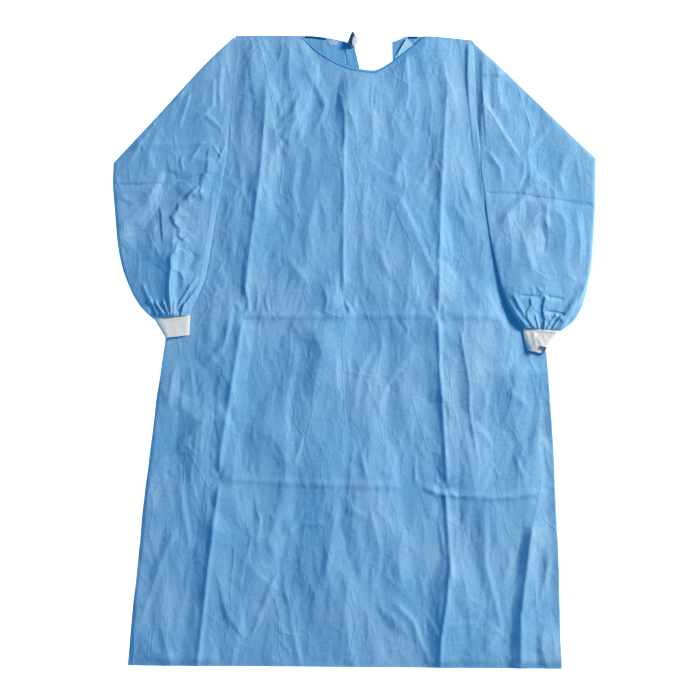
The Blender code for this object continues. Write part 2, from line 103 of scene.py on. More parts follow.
def creaseHeight(x, y, crease):
    # height in mm at plan places in mm: two sloping sides that meet in a sharp line along the path
    height = np.zeros(x.shape)
    path = np.array(crease.path, float)
    reach = max(crease.lit, crease.shade)
    low, high = path.min(0) - reach, path.max(0) + reach
    near = (x > low[0]) & (x < high[0]) & (y > low[1]) & (y < high[1])
    if not near.any():
        return height
    px, py = x[near], y[near]
    nearest = np.full(px.shape, 1e9)
    side = np.zeros(px.shape)
    along = np.zeros(px.shape)
    lengths = np.hypot(*np.diff(path, axis=0).T)
    total, done = lengths.sum(), 0.0
    wholeX, wholeY = path[-1] - path[0]
    turn = 1 if wholeY * lightAcross[0] - wholeX * lightAcross[1] > 0 else -1
    for (ax, ay), (bx, by), length in zip(path, path[1:], lengths):
        ux, uy = (bx - ax) / length, (by - ay) / length
        nx, ny = turn * uy, -turn * ux
        t = np.clip((px - ax) * ux + (py - ay) * uy, 0, length)
        dx, dy = px - ax - t * ux, py - ay - t * uy
        distance = np.hypot(dx, dy)
        closer = distance < nearest
        nearest[closer] = distance[closer]
        side[closer] = ((px - ax) * nx + (py - ay) * ny)[closer]
        along[closer] = (done + t[closer]) / total
        done += length
    run = np.where(side > 0, crease.lit, crease.shade)
    rise = np.clip(1 - nearest / run, 0, 1) ** 1.25
    if crease.fadeStart:
        rise *= smooth(along / crease.fadeStart)
    if crease.fadeEnd:
        rise *= smooth((1 - along) / crease.fadeEnd)
    height[near] = crease.height * rise
    return height


def addCreases(x, y, creases):
    total = np.zeros(x.shape)
    for crease in creases:
        total += creaseHeight(x, y, crease)
    return total


def scatterCreases(seed, count, box, plan):
    # creases left by handling: one side narrow and steep, the other wide, leaning one way or the other
    dice = np.random.default_rng(seed)
    (x0, y0), (x1, y1) = box
    made = []
    for _ in range(count):
        x, y = dice.uniform(x0, x1), dice.uniform(y0, y1)
        size = dice.uniform() ** 1.6
        length = between(*plan["length"], size) * dice.uniform(0.7, 1.3)
        lean = math.radians(dice.normal(plan["lean"] * dice.choice((1, -1)) + plan["tilt"], plan["leanSpread"]))
        bend = dice.uniform(-0.22, 0.22)
        dx, dy = math.sin(lean) * length / 2, math.cos(lean) * length / 2
        path = ((x - dx, y - dy), (x + bend * dy, y - bend * dx), (x + dx, y + dy))
        runs = [dice.uniform(*plan["narrow"]), between(*plan["wide"], size) * dice.uniform(0.7, 1.3)]
        if dice.uniform() < 0.4:
            runs.reverse()
        height = between(*plan["height"], size) * dice.uniform(0.7, 1.3) * dice.choice((1, -0.8))
        made.append(Crease(path, *runs, height, 0.3, 0.45))
    return made


def facets(x, y, wide, long, seed):
    # flat faces that meet in crisp lines, between random heights from -1 to 1, as in paper smoothed out
    dice = np.random.default_rng(seed)
    u, v = x / wide, y / long
    firstU, firstV = math.floor(u.min()) - 2, math.floor(v.min()) - 2
    columns, rows = math.ceil(u.max()) - firstU + 2, math.ceil(v.max()) - firstV + 2
    spots = [Vector((firstU + i + j % 2 / 2 + dice.uniform(-0.42, 0.42), firstV + j + dice.uniform(-0.42, 0.42)))
             for j in range(rows) for i in range(columns)]
    heights = dice.uniform(-1, 1, len(spots))
    found, _, faces, sources = delaunay_2d_cdt(spots, [], [], 0, 1e-5)[:4]
    height = np.zeros(x.shape)
    for face in faces:
        (ax, ay), (bx, by), (cx, cy) = (found[k] for k in face)
        near = (u >= min(ax, bx, cx)) & (u <= max(ax, bx, cx)) & (v >= min(ay, by, cy)) & (v <= max(ay, by, cy))
        if not near.any():
            continue
        du, dv = u[near] - cx, v[near] - cy
        area = (by - cy) * (ax - cx) + (cx - bx) * (ay - cy)
        a = ((by - cy) * du + (cx - bx) * dv) / area
        b = ((cy - ay) * du + (ax - cx) * dv) / area
        inside = (a >= -1e-6) & (b >= -1e-6) & (a + b <= 1 + 1e-6)
        high = [heights[sources[k][0]] for k in face]
        spot = height[near]
        spot[inside] = (a * high[0] + b * high[1] + (1 - a - b) * high[2])[inside]
        height[near] = spot
    return height


def crumple(x, y, layers, seed):
    # facets of several sizes, stronger in some places than in others
    total = np.zeros(x.shape)
    for number, (wide, long, high) in enumerate(layers):
        share = 0.75 + 0.45 * softNoise(x, y, 110, 160, seed + 50 + number)
        total += high * share * facets(x, y, wide, long, seed + number)
    return total


def softNoise(x, y, sizeX, sizeY, seed):
    # slow swells between -1 and 1, about as long as the two sizes
    table = np.random.default_rng(seed).uniform(-1, 1, (64, 64))
    u, v = (x / sizeX + 31.3) % 64, (y / sizeY + 17.7) % 64
    i, j = u.astype(int), v.astype(int)
    s, t = smooth(u - i), smooth(v - j)
    low = between(table[i % 64, j % 64], table[(i + 1) % 64, j % 64], s)
    high = between(table[i % 64, (j + 1) % 64], table[(i + 1) % 64, (j + 1) % 64], s)
    return between(low, high, t)


def softened(height):
    padded = np.pad(height, 1, mode="edge")
    return (
        4 * padded[1:-1, 1:-1]
        + 2 * (padded[:-2, 1:-1] + padded[2:, 1:-1] + padded[1:-1, :-2] + padded[1:-1, 2:])
        + padded[:-2, :-2] + padded[:-2, 2:] + padded[2:, :-2] + padded[2:, 2:]
    ) / 16


def toLinear(code):
    parts = [int(code[i : i + 2], 16) / 255 for i in (1, 3, 5)]
    return tuple(c / 12.92 if c <= 0.04045 else ((c + 0.055) / 1.055) ** 2.4 for c in parts) + (1,)


def addNode(tree, kind, settings=None, links=None):
    # settings: sockets by name or index, or attributes; links: socket from another node's output
    node = tree.nodes.new("ShaderNode" + kind)
    for key, value in (settings or {}).items():
        if isinstance(key, str) and hasattr(node, key):
            setattr(node, key, value)
        else:
            node.inputs[key].default_value = value
    for key, source in (links or {}).items():
        tree.links.new(source, node.inputs[key])
    return node


def makePiece(name, x, y, z, material, wrap=False):
    # one surface over a grid of places, in mm
    rows, columns = x.shape
    points = np.stack((x, y, z), axis=-1).reshape(-1, 3) * mm
    index = np.arange(rows * columns).reshape(rows, columns)
    if wrap:
        index = np.concatenate((index, index[:, :1]), axis=1)
    quads = np.stack((index[:-1, :-1], index[:-1, 1:], index[1:, 1:], index[1:, :-1]), axis=-1)
    mesh = bpy.data.meshes.new(name)
    mesh.from_pydata(points.tolist(), [], quads.reshape(-1, 4).tolist())
    mesh.shade_smooth()
    mesh.update()
    piece = bpy.data.objects.new(name, mesh)
    bpy.context.scene.collection.objects.link(piece)
    mesh.materials.append(material)
    return piece


def fit(piece, node):
    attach(piece, "root")
    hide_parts(node)


# Materials

def startMaterial(name):
    material = bpy.data.materials.new(name)
    material.use_nodes = True
    return material, material.node_tree, material.node_tree.nodes["Principled BSDF"]


def addLines(tree, place, pitch, lean, shift, height):
    # thin straight crease lines, pitch in mm and lean in degrees, present only in patches
    turned = addNode(tree, "Mapping",
                     {"Location": (shift, shift, 0), "Rotation": (0, 0, math.radians(lean)),
                      "Scale": (1.0, 0.42, 1.0)}, {"Vector": place}).outputs[0]
    net = addNode(tree, "TexVoronoi",
                  {"feature": "DISTANCE_TO_EDGE", "voronoi_dimensions": "2D", "Scale": 1 / (pitch * mm)},
                  {"Vector": turned})
    line = addNode(tree, "MapRange", {1: 0.0, 2: 1.7 / pitch, 3: height, 4: 0.0},
                   {0: net.outputs["Distance"]})
    patch = addNode(tree, "TexNoise", {"Scale": 1 / (1.3 * pitch * mm), "Detail": 1}, {"Vector": turned})
    shown = addNode(tree, "MapRange", {1: 0.47, 2: 0.66, 3: 0.0, 4: 1.0}, {0: patch.outputs["Fac"]})
    return addNode(tree, "Math", {"operation": "MULTIPLY"},
                   {0: line.outputs[0], 1: shown.outputs[0]}).outputs[0]


def makeNonwoven(name, colour, deep):
    # spunbonded polypropylene: matt and a little papery, its fibres laid in cloudy patches, with crisp
    # fine wrinkles that run mostly along the gown
    material, tree, shader = startMaterial(name)
    shader.inputs["Roughness"].default_value = 0.60
    shader.inputs["Sheen Weight"].default_value = 0.04
    shader.inputs["Sheen Roughness"].default_value = 0.5
    shader.inputs["Specular IOR Level"].default_value = 0.2
    place = addNode(tree, "TexCoord").outputs["Object"]
    patches = addNode(tree, "TexNoise", {"Scale": 1 / (150 * mm), "Detail": 2, "Roughness": 0.5},
                      {"Vector": place})
    cloudy = addNode(tree, "TexNoise", {"Scale": 1 / (6 * mm), "Detail": 5, "Roughness": 0.75},
                     {"Vector": place})
    both = addNode(tree, "Math", {"operation": "ADD"},
                   {0: patches.outputs["Fac"], 1: cloudy.outputs["Fac"]})
    ramp = addNode(tree, "MapRange", {1: 0.7, 2: 1.3, 3: 0.0, 4: 1.0}, {0: both.outputs[0]})
    tint = addNode(tree, "Mix", {"data_type": "RGBA", 6: toLinear(deep), 7: toLinear(colour)},
                   {0: ramp.outputs[0]})
    tree.links.new(tint.outputs[2], shader.inputs["Base Color"])
    stretched = addNode(tree, "Mapping", {"Scale": (1.0, 0.38, 1.0)}, {"Vector": place})
    wrinkles = addNode(tree, "TexNoise",
                       {"noise_type": "RIDGED_MULTIFRACTAL", "Scale": 1 / (42 * mm), "Detail": 2.4,
                        "Roughness": 0.6, "Lacunarity": 2.3, "Offset": 0.9, "Gain": 1.4, "Distortion": 0.4},
                       {"Vector": stretched.outputs[0]})
    soft = addNode(tree, "Bump", {"Strength": 0.5, "Distance": 0.0018},
                   {"Height": wrinkles.outputs["Fac"]})
    lines = addNode(tree, "Math", {"operation": "ADD"},
                    {0: addLines(tree, place, 34, 24, 0.4, 0.6), 1: addLines(tree, place, 60, -18, 7.7, 1.0)})
    crisp = addNode(tree, "Bump", {"Strength": 1.0, "Distance": 0.0004},
                    {"Height": lines.outputs[0], "Normal": soft.outputs[0]})
    fibres = addNode(tree, "TexNoise", {"Scale": 1 / (6 * mm), "Detail": 5, "Roughness": 0.7},
                     {"Vector": place})
    grain = addNode(tree, "Bump", {"Strength": 0.7, "Distance": 0.0012},
                    {"Height": fibres.outputs["Fac"], "Normal": crisp.outputs[0]})
    tree.links.new(grain.outputs[0], shader.inputs["Normal"])
    return material


def makeTape(name, colour, deep, pitch):
    # woven binding tape: matt, with fine cross threads and a dotted edge
    material, tree, shader = startMaterial(name)
    shader.inputs["Roughness"].default_value = 0.75
    place = addNode(tree, "TexCoord").outputs["Object"]
    threads = addNode(tree, "TexVoronoi",
                      {"feature": "F1", "Scale": 1 / pitch, "Randomness": 0.3}, {"Vector": place})
    shade = addNode(tree, "MapRange", {1: 0.15, 2: 0.55, 3: 0.0, 4: 1.0},
                    {0: threads.outputs["Distance"]})
    tint = addNode(tree, "Mix", {"data_type": "RGBA", 6: toLinear(colour), 7: toLinear(deep)},
                   {0: shade.outputs[0]})
    tree.links.new(tint.outputs[2], shader.inputs["Base Color"])
    bump = addNode(tree, "Bump", {"Strength": 0.4, "Distance": 0.0005, "invert": True},
                   {"Height": threads.outputs["Distance"]})
    tree.links.new(bump.outputs[0], shader.inputs["Normal"])
    return material


def makeKnit(name, colour):
    # ribbed cotton and polyester knit: matt and soft, its ribs so fine that they hardly show
    ribPitch = 1.9 * mm
    material, tree, shader = startMaterial(name)
    shader.inputs["Roughness"].default_value = 0.9
    shader.inputs["Sheen Weight"].default_value = 0.3
    shader.inputs["Base Color"].default_value = toLinear(colour)
    place = addNode(tree, "TexCoord").outputs["Object"]
    ribs = addNode(tree, "TexWave",
                   {"wave_type": "BANDS", "bands_direction": "X", "Scale": 0.314 / ribPitch,
                    "Distortion": 1.5, "Detail": 1.0}, {"Vector": place})
    bump = addNode(tree, "Bump", {"Strength": 0.18, "Distance": 0.0005},
                   {"Height": ribs.outputs["Fac"]})
    fuzz = addNode(tree, "TexNoise", {"Scale": 1 / (2.5 * mm), "Detail": 4}, {"Vector": place})
    fine = addNode(tree, "Bump", {"Strength": 0.3, "Distance": 0.0004},
                   {"Height": fuzz.outputs["Fac"], "Normal": bump.outputs[0]})
    tree.links.new(fine.outputs[0], shader.inputs["Normal"])
    return material


nonwoven = makeNonwoven("spunbonded_polypropylene", "#8AB4DB", "#65A0D4")
# a darker copy of the cloth, for the backs seen in the neck and for the left back's turned facing
darkerNonwoven = makeNonwoven("spunbonded_polypropylene_darker", "#6DA8D8", "#5D99CC")
bindingTape = makeTape("woven_binding_tape", "#6BAEE2", "#478FCE", 4.2 * mm)
navyTape = makeTape("navy_binding_tape", "#1B569A", "#103C74", 3.4 * mm)
cuffKnit = makeKnit("ribbed_cotton_knit", "#E0DADB")
hookNylon = makeKnit("moulded_nylon_hooks", "#95A3B2")
loopFelt = makeKnit("brushed_nylon_loops", "#9DB9DC")
# a lighter copy of the cloth for the turned flap beside the neck: a painted highlight for the light the flap catches
turnedEdgePaintedHighlight = makeNonwoven("spunbonded_polypropylene_turned_edge_painted_highlight", "#A4CBEC", "#93BEE5")

# Outline of the body, shared by the front and the two backs

outline = readTable(
    Outline,
    (-620, -433.0, 394.0),
    (-399, -411.4, 387.6),
    (-209, -390.5, 379.1),
    (-57, -370.5, 369.6),
    (95, -348.7, 352.5),
    (228, -331.6, 333.5),
    (295, -318.3, 316.4),
    (342, -284.1, 280.3),
    (380, -255.6, 250.8),
    (418, -246.1, 240.4),
    (494, -238.5, 232.8),
    (551, -233.7, 229.0),
    (604, -224.5, 223.6),
)
layer = 1.3                     # one cloth and the air under it
hem = {"left": -599.0, "right": -605.0}
neck = {
    "lowX": 39.0, "lowY": 531.0, "shoulderLeft": 597.0, "shoulderRight": 596.0, "tipDrop": 9.0,
    "left": 139.0, "right": 94.0, "leftPower": 2.1, "rightPower": 1.25,
}
backEdge = readTable(
    Outline,
    (-620, -26.0, -12.0),
    (-200, -4.0, 11.0),
    (200, 18.0, 35.0),
    (400, 24.0, 56.0),
    (522, 12.5, 73.0),
    (545, 7.5, 72.2),
    (577, -0.2, 71.6),
    (604, -6.0, 71.6),
)
facing = {"width": 21.0, "topY": 578.5, "stepStart": 26.0, "stepRun": 35.0}


def readOutline(table, y, column):
    return curveThrough([row.y for row in table], [getattr(row, column) for row in table], y)


def frontTop(x):
    leftShare = np.clip((neck["lowX"] - x) / neck["left"], 0, 1)
    rightShare = np.clip((x - neck["lowX"]) / neck["right"], 0, 1)
    top = neck["lowY"] + (neck["shoulderLeft"] - neck["lowY"]) * leftShare ** neck["leftPower"]
    rightSide = neck["lowY"] + (neck["shoulderRight"] - neck["lowY"]) * rightShare ** neck["rightPower"]
    past = (x - neck["lowX"] - neck["right"]) / 123.0
    rightSide = rightSide - neck["tipDrop"] * smooth(past)
    return np.where(x < neck["lowX"], top, rightSide)


def hemLine(x):
    return between(hem["left"], hem["right"], (x + 431) / 824.5)


def frontBase(x, y):
    # where the front lies flat: on the backs, and a little higher over the turned centre-back edge
    edge = readOutline(backEdge, y, "left")
    near = 1 - smooth((edge - facing["width"] - x - facing["stepStart"]) / facing["stepRun"])
    near *= 1 - smooth((x - edge - facing["stepStart"]) / facing["stepRun"])
    opening = smooth((x - edge + 3) / 8) * (1 - smooth((x - readOutline(backEdge, y, "right") - 3) / 8))
    nearHem = 1 - smooth((y - hem["left"] - 20) / 120)
    return layer + layer * near * (1 - 0.85 * opening * nearHem)


# Sleeves: sections from the armhole to the cuff, with the outer and inner edge of the flattened tube

sleeveSections = {
    "left": readTable(
        Section,
        (-226.8, 596.2, -240.8, 380.0, 9.5),
        (-278.5, 548.0, -247.0, 345.8, 11.5),
        (-322.5, 501.5, -251.8, 313.5, 12.5),
        (-366.5, 453.0, -257.5, 283.1, 13.0),
        (-413.0, 403.3, -263.2, 252.7, 13.0),
        (-457.9, 355.3, -267.9, 224.2, 13.0),
        (-458.9, 311.6, -272.7, 195.7, 14.0),
        (-455.1, 260.3, -276.5, 169.1, 15.0),
        (-450.3, 205.2, -282.2, 140.6, 16.0),
        (-441.8, 159.6, -289.8, 117.8, 17.0),
        (-428.5, 121.6, -297.4, 99.8, 17.0),
        (-411.4, 89.3, -305.0, 85.5, 16.0),
        (-393.3, 68.4, -309.7, 75.1, 14.0),
        (-381.9, 58.9, -311.6, 66.5, 11.5),
    ),
    "right": readTable(
        Section,
        (223.3, 586.2, 236.6, 376.2, 9.5),
        (268.9, 545.3, 241.3, 330.6, 11.5),
        (314.5, 501.6, 246.1, 298.3, 12.0),
        (362.0, 456.0, 249.9, 269.8, 12.5),
        (409.5, 410.4, 253.7, 243.2, 13.0),
        (458.9, 363.9, 257.5, 216.6, 13.5),
        (458.0, 319.2, 262.2, 191.9, 14.5),
        (457.0, 266.0, 267.9, 165.3, 15.5),
        (454.1, 209.0, 273.6, 136.8, 17.0),
        (450.3, 159.6, 280.3, 112.1, 18.0),
        (441.8, 114.0, 288.8, 89.3, 18.0),
        (431.5, 79.8, 299.3, 68.4, 16.5),
        (416.5, 55.1, 309.7, 53.2, 13.5),
        (393.0, 36.1, 319.2, 42.8, 11.0),
    ),
}
shoulderCorner = 5              # the section at the sleeve's outer corner


def innerEdgeX(side, y):
    line = [(s.innerX, s.innerY) for s in sleeveSections[side]]
    line.insert(0, (sleeveSections[side][0].outerX, sleeveSections[side][0].outerY))
    line.sort(key=lambda point: point[1])
    return np.interp(y, [p[1] for p in line], [p[0] for p in line])


# how the front is pressed down near the sleeves; the right armhole's seam lies in a wider hollow
pressed = {"margin": 3.0, "run": 40.0, "cuffEnd": -7.5, "hollow": 15.0, "hollowY": 300, "hollowRun": 80}


def clearOfSleeves(x, y):
    # 0 where a sleeve or a cuff lies on the front, 1 well away from them
    margin, run = pressed["margin"], pressed["run"]
    down = (pressed["cuffEnd"] - y - margin) / run
    left = (x - innerEdgeX("left", y) - margin) / run
    hollow = pressed["hollow"] * smooth((y - pressed["hollowY"]) / pressed["hollowRun"])
    right = (innerEdgeX("right", y) - x - margin - hollow) / run
    return smooth(np.maximum(down, np.minimum(left, right)))


# height of the body's cloth under a sleeve, and how far past the body's edge the sleeve comes down
sleeveRest = {"height": 1.9, "past": 45, "run": 45}


def sleeveFloor(side, x, y):
    # on the body where the sleeve crosses it, down on the table further out
    edge = readOutline(outline, y, side)
    past = edge - x if side == "left" else x - edge
    return sleeveRest["height"] * (1 - smooth((past - sleeveRest["past"]) / sleeveRest["run"]))


# Front panel

frontCreases = readCreases(
    *ridge((44, 26, 5.1, 0.18, 0.1), (9, 9, 1.8, 0.35, 0.05), (-166, 551), (-168, 475), (-178, 344),
        (-187, 276), (-200, 180), (-210, 84)),
    *ridge((40, 34, 6.5, 0.08, 0.1), (8, 10, 2.2, 0.05, 0.08), (-212, 63), (-238, -99), (-254, -196),
        (-259, -241)),
    *ridge((42, 30, 7.2, 0.1, 0), (8, 9, 2.3, 0.06, 0), (-256, -245), (-278, -418), (-295, -572),
        (-299, -612)),
    *ridge((34, 28, 4.5, 0.35, 0.08), (8, 9, 1.8, 0.38, 0.05), (178, 540), (168, 365), (164, 287),
        (161, 142), (160, 74)),
    *ridge((34, 28, 5.2, 0.08, 0.1), (6, 7, 2, 0.05, 0.06), (159, 63), (162, -38), (173, -198),
        (176, -264)),
    *ridge((26, 22, 4.7, 0.1, 0.25), (8, 8, 2, 0.06, 0.2), (172, -264), (179, -376), (187, -460)),
    (30, 19, 9.6, 0.15, 0, (339, -312), (328, -405), (316, -498), (314, -612)),
    *ridge((60, 32, 9.9, 0.25, 0), (8, 7, 2.1, 0.25, 0), (181, -391), (176, -475), (164, -551),
        (162, -612)),
    *ridge((26, 24, 3.1, 0.15, 0.1), (6, 7, 1, 0.2, 0.08), (-37, 517), (-18, 450), (-20, 359),
        (-21, 247), (-21, 95)),
    (8, 22, 2.1, 0.3, 0.3, (-35, 0), (-35, -27), (-32, -95)),
    *ridge((34, 46, 4.7, 0.15, 0.2), (4, 5, 1.2, 0.15, 0.2), (197, 57), (218, -65), (218, -112),
        (239, -238)),
    (16, 9, 2.3, 0.08, 0.06, (-233, 65), (-104, 63), (29, 65), (159, 66)),
    (18, 10, 2.3, 0.08, 0.25, (162, 68), (219, 65), (295, 61)),
    (14, 9, 2, 0.15, 0.1, (-284, -241), (-180, -249), (-66, -255), (48, -258), (117, -260)),
    (14, 8, 2.9, 0.1, 0.1, (113, -258), (174, -274), (252, -281), (301, -279), (364, -268)),
    (5, 26, 1.4, 0.12, 0.3, (98, 574), (103, 490), (100, 469), (80, 414)),
    (10, 18, 2.1, 0.2, 0.2, (-71, 494), (-123, 420), (-168, 355)),
    (20, 7, 1.7, 0.2, 0.3, (-111, 502), (-100, 484), (-123, 446), (-157, 407)),
    (10, 12, 1.4, 0.3, 0.3, (-121, 492), (-140, 456), (-153, 426)),
    (9, 20, 2.1, 0.2, 0.3, (-62, 488), (-55, 464), (-69, 429), (-85, 401)),
    (26, 12, 2.1, 0.3, 0.3, (-104, 551), (-66, 490), (-43, 437)),
    (10, 16, 1.7, 0.3, 0.3, (-130, 179), (-107, 148), (-85, 118)),
    (9, 22, 2.3, 0.25, 0.25, (77, 304), (96, 268), (124, 203), (149, 141)),
    (9, 14, 1.7, 0.3, 0.3, (41, 200), (56, 167), (69, 133)),
    (9, 14, 1.7, 0.3, 0.3, (185, 283), (200, 258), (218, 232)),
    (14, 26, 2.2, 0.2, 0.3, (48, 521), (33, 437), (39, 352)),
    (20, 20, 2.1, 0.2, 0.3, (134, 551), (147, 456), (140, 380)),
    (14, 20, 2, 0.3, 0.3, (-104, 380), (-119, 304), (-111, 209)),
    (12, 18, 1.7, 0.3, 0.3, (-66, 323), (-88, 228), (-73, 142)),
    (12, 22, 1.8, 0.3, 0.3, (20, 342), (14, 247), (29, 171)),
    (12, 16, 1.8, 0.3, 0.3, (105, 399), (83, 352), (71, 300)),
    (5, 7, 2.1, 0.4, 0.1, (-206, 125), (-202, 95), (-200, 72)),
    (5, 7, 1.8, 0.4, 0.1, (-185, 133), (-183, 99), (-187, 72)),
    (5, 6, 1.6, 0.4, 0.1, (-164, 122), (-168, 95), (-162, 72)),
    (6, 8, 1.8, 0.4, 0.1, (-56, 125), (-52, 95), (-56, 70)),
    (6, 8, 1.3, 0.4, 0.1, (5, 114), (1, 91), (3, 72)),
    (6, 9, 1.4, 0.4, 0.1, (98, 127), (102, 95), (94, 72)),
    (10, 16, 2.2, 0.2, 0.3, (-233, 25), (-267, -10), (-303, -48)),
    (12, 14, 2.1, 0.25, 0.25, (-352, -207), (-313, -163), (-267, -116)),
    (10, 18, 2.3, 0.2, 0.3, (-330, 4), (-347, -49), (-354, -124)),
    (8, 12, 1.6, 0.3, 0.3, (-98, -160), (-109, -194), (-119, -228)),
    (7, 8, 1.3, 0.3, 0.3, (-187, -205), (-195, -218), (-202, -232)),
    (9, 20, 2.5, 0.2, 0.3, (124, 15), (66, -55), (48, -104), (45, -162)),
    (10, 16, 2.1, 0.25, 0.25, (221, -131), (257, -173), (297, -215)),
    (10, 12, 1.6, 0.3, 0.3, (290, -76), (311, -93), (333, -112)),
    (7, 10, 1.6, 0.3, 0.3, (12, -192), (18, -220), (24, -249)),
    (6, 9, 1.7, 0.3, 0.2, (117, -198), (115, -228), (115, -255)),
    (12, 24, 2.3, 0.25, 0.3, (-107, 27), (-123, -57), (-134, -133)),
    (12, 22, 2.1, 0.25, 0.3, (52, 38), (10, -38), (-5, -133)),
    (3, 18, 3.6, 0.05, 0.5, (362, 23), (370, -57), (380, -209), (389, -399), (395, -619)),
    (9, 16, 2.3, 0.2, 0.3, (-332, -238), (-326, -300), (-316, -352), (-309, -393)),
    (10, 16, 2.6, 0.2, 0.25, (-332, -321), (-370, -410), (-392, -475), (-415, -542)),
    (8, 14, 2, 0.3, 0.3, (-176, -294), (-181, -334), (-187, -376)),
    (9, 18, 2.3, 0.2, 0.3, (-94, -298), (-123, -342), (-170, -388)),
    (10, 12, 1.8, 0.2, 0.3, (-52, -247), (-104, -274), (-166, -306)),
    (14, 10, 2.9, 0.2, 0, (-142, -412), (-176, -494), (-218, -604)),
    (10, 16, 2.9, 0.2, 0, (-142, -412), (-123, -494), (-102, -604)),
    (9, 18, 2.3, 0.2, 0.3, (-33, -287), (-47, -376), (-62, -471)),
    (9, 16, 2.9, 0.25, 0, (64, -467), (111, -515), (145, -604)),
    (8, 14, 2.3, 0.25, 0.25, (104, -327), (121, -407), (136, -483)),
    (10, 16, 2.5, 0.15, 0.15, (246, -281), (248, -405), (278, -524), (231, -591)),
    (9, 18, 2.5, 0.25, 0.25, (377, -370), (354, -467), (326, -504)),
    (14, 20, 2.3, 0.3, 0, (-9, -399), (-18, -494), (-5, -604)),
    (10, 18, 2.1, 0.25, 0.3, (26, -285), (48, -380), (41, -456)),
    (12, 16, 2.1, 0.3, 0, (-351, -475), (-358, -551), (-347, -612)),
    (9, 12, 2, 0.3, 0, (362, -513), (352, -560), (368, -612)),
    (60, 26, 5.5, 0.25, 0.3, (-83, 53), (-62, -4), (-81, -95)),
    (26, 62, -4.7, 0.3, 0.3, (-199, 38), (-176, -57), (-199, -171)),
    (30, 44, 4.4, 0.3, 0.3, (-142, -412), (-164, -361), (-132, -285)),
    (44, 40, 4.4, 0.3, 0.3, (39, 19), (22, -95), (33, -200)),
    (36, 40, 4.7, 0.3, 0.3, (96, -323), (83, -399), (94, -467)),
    (40, 30, 4.2, 0.3, 0.3, (286, 19), (299, -95), (314, -228)),
    *star((159, 66), ((140, 84), 2.5), ((176, 86), 2.6), ((142, 51), 2.3), ((181, 55), 2.3)),
    *star((159, 68), ((159, 89), 2.1)),
    (4.7, 5, 1.6, 0.2, 0.2, (147, 76), (151, 87), (164, 89), (172, 80)),
    *star((174, -264), ((151, -243), 2.6), ((195, -247), 2.5), ((157, -283), 2.3), ((199, -283), 2.3)),
    (4.7, 6, 2.5, 0.3, 0.2, (140, -262), (155, -274), (176, -270)),
    *star((-212, 70), ((-229, 95), 2.1), ((-195, 91), 2.1)),
    *star((-212, 66), ((-225, 48), 1.8)),
    *star((-257, -245), ((-276, -228), 2.1), ((-238, -228), 2.1), ((-273, -266), 1.8)),
    (4.7, 6, 2.3, 0.2, 0.2, (-20, 95), (-9, 78), (5, 91)),
    (4.7, 6, 2, 0.2, 0.2, (-31, 72), (-16, 87), (-5, 68)),
)

# creases beside the sleeves, where the front is pressed down
besideSleeves = readCreases(
    (22, 4, 1.7, 0.02, 0.3, (215, 585), (214, 522), (218, 466), (225, 399), (233, 342)),
    (20, 10, 2.3, 0.03, 0.4, (217, 585), (216, 532), (219, 467)),
    (3, 9, 1.5, 0.2, 0.2, (231, 437), (237, 380), (243, 314), (252, 258)),
    (3, 22, 1.4, 0.3, 0.2, (252, 276), (258, 218), (266, 180), (276, 133), (288, 95)),
    (5, 3, 0.5, 0.05, 0.2, (-221, 581), (-229, 494), (-235, 418), (-238, 365), (-250, 312)),
    (9, 3, 0.6, 0.15, 0.15, (-254, 312), (-261, 256), (-269, 209), (-275, 162), (-284, 125),
        (-299, 87)),
    (4, 7, 1.1, 0.3, 0.3, (-242, 380), (-233, 350), (-244, 319)),
    (4, 7, 1.3, 0.3, 0.3, (-252, 300), (-237, 276), (-250, 243)),
    (4, 6, 1.1, 0.3, 0.3, (-261, 236), (-240, 217), (-257, 188)),
    (4, 7, 1.3, 0.3, 0.3, (-271, 186), (-248, 165), (-267, 141)),
    (4, 6, 1.1, 0.3, 0.3, (-276, 133), (-257, 114), (-275, 87)),
    (4, 8, 1, 0.3, 0.3, (-252, 327), (-221, 312), (-204, 285)),
)

frontPanel = {
    "columns": 330, "rows": 296, "smallCreases": 210, "fineCreases": 900, "seed": 11, "fineSeed": 13,
    "rise": 3.6, "swell": 2.0, "swellWide": 58, "swellLong": 120, "width": 820, "length": 1190,
    "leftRun": 7.0, "rightRun": 1.3, "hemRun": 16, "neckRun": 22,       # how fast the cloth rises from its edges
}
frontFacets = ((74, 150, 6.6), (36, 78, 3.9), (17, 34, 1.2))       # wide, long and high, mm
# creases left by handling, from fine to small
fineHandling = {"length": (18, 55), "narrow": (3, 4), "wide": (4, 8), "height": (0.5, 1.3),
                "lean": 30, "tilt": 0, "leanSpread": 26}
handling = {"length": (22, 120), "narrow": (3.2, 5), "wide": (5, 20), "height": (0.35, 1.5),
            "lean": 26, "tilt": 0, "leanSpread": 24}


def frontPlan(columns, rows):
    # plan places of the front's grid, hem row first, neckline row last
    narrow = 0.0009                 # the outermost columns lie close together, for a crisp side edge
    u = np.concatenate(([0, narrow, 2 * narrow], np.linspace(0.004, 0.996, columns - 6),
                        [1 - 2 * narrow, 1 - narrow, 1]))
    v = np.linspace(0, 1, rows)
    topLeft, topRight = readOutline(outline, 597.0, "left"), readOutline(outline, 597.0, "right")
    topX = between(topLeft, topRight, u)
    topY = frontTop(topX)
    lowX = between(readOutline(outline, hem["left"], "left"), readOutline(outline, hem["left"], "right"), u)
    y = between(hemLine(lowX)[None, :], topY[None, :], v[:, None])
    left, right = readOutline(outline, y, "left"), readOutline(outline, y, "right")
    x = between(left, right, u[None, :])
    drift = topX - x[-1]
    x = x + drift[None, :] * v[:, None] ** 8
    return x, y, u


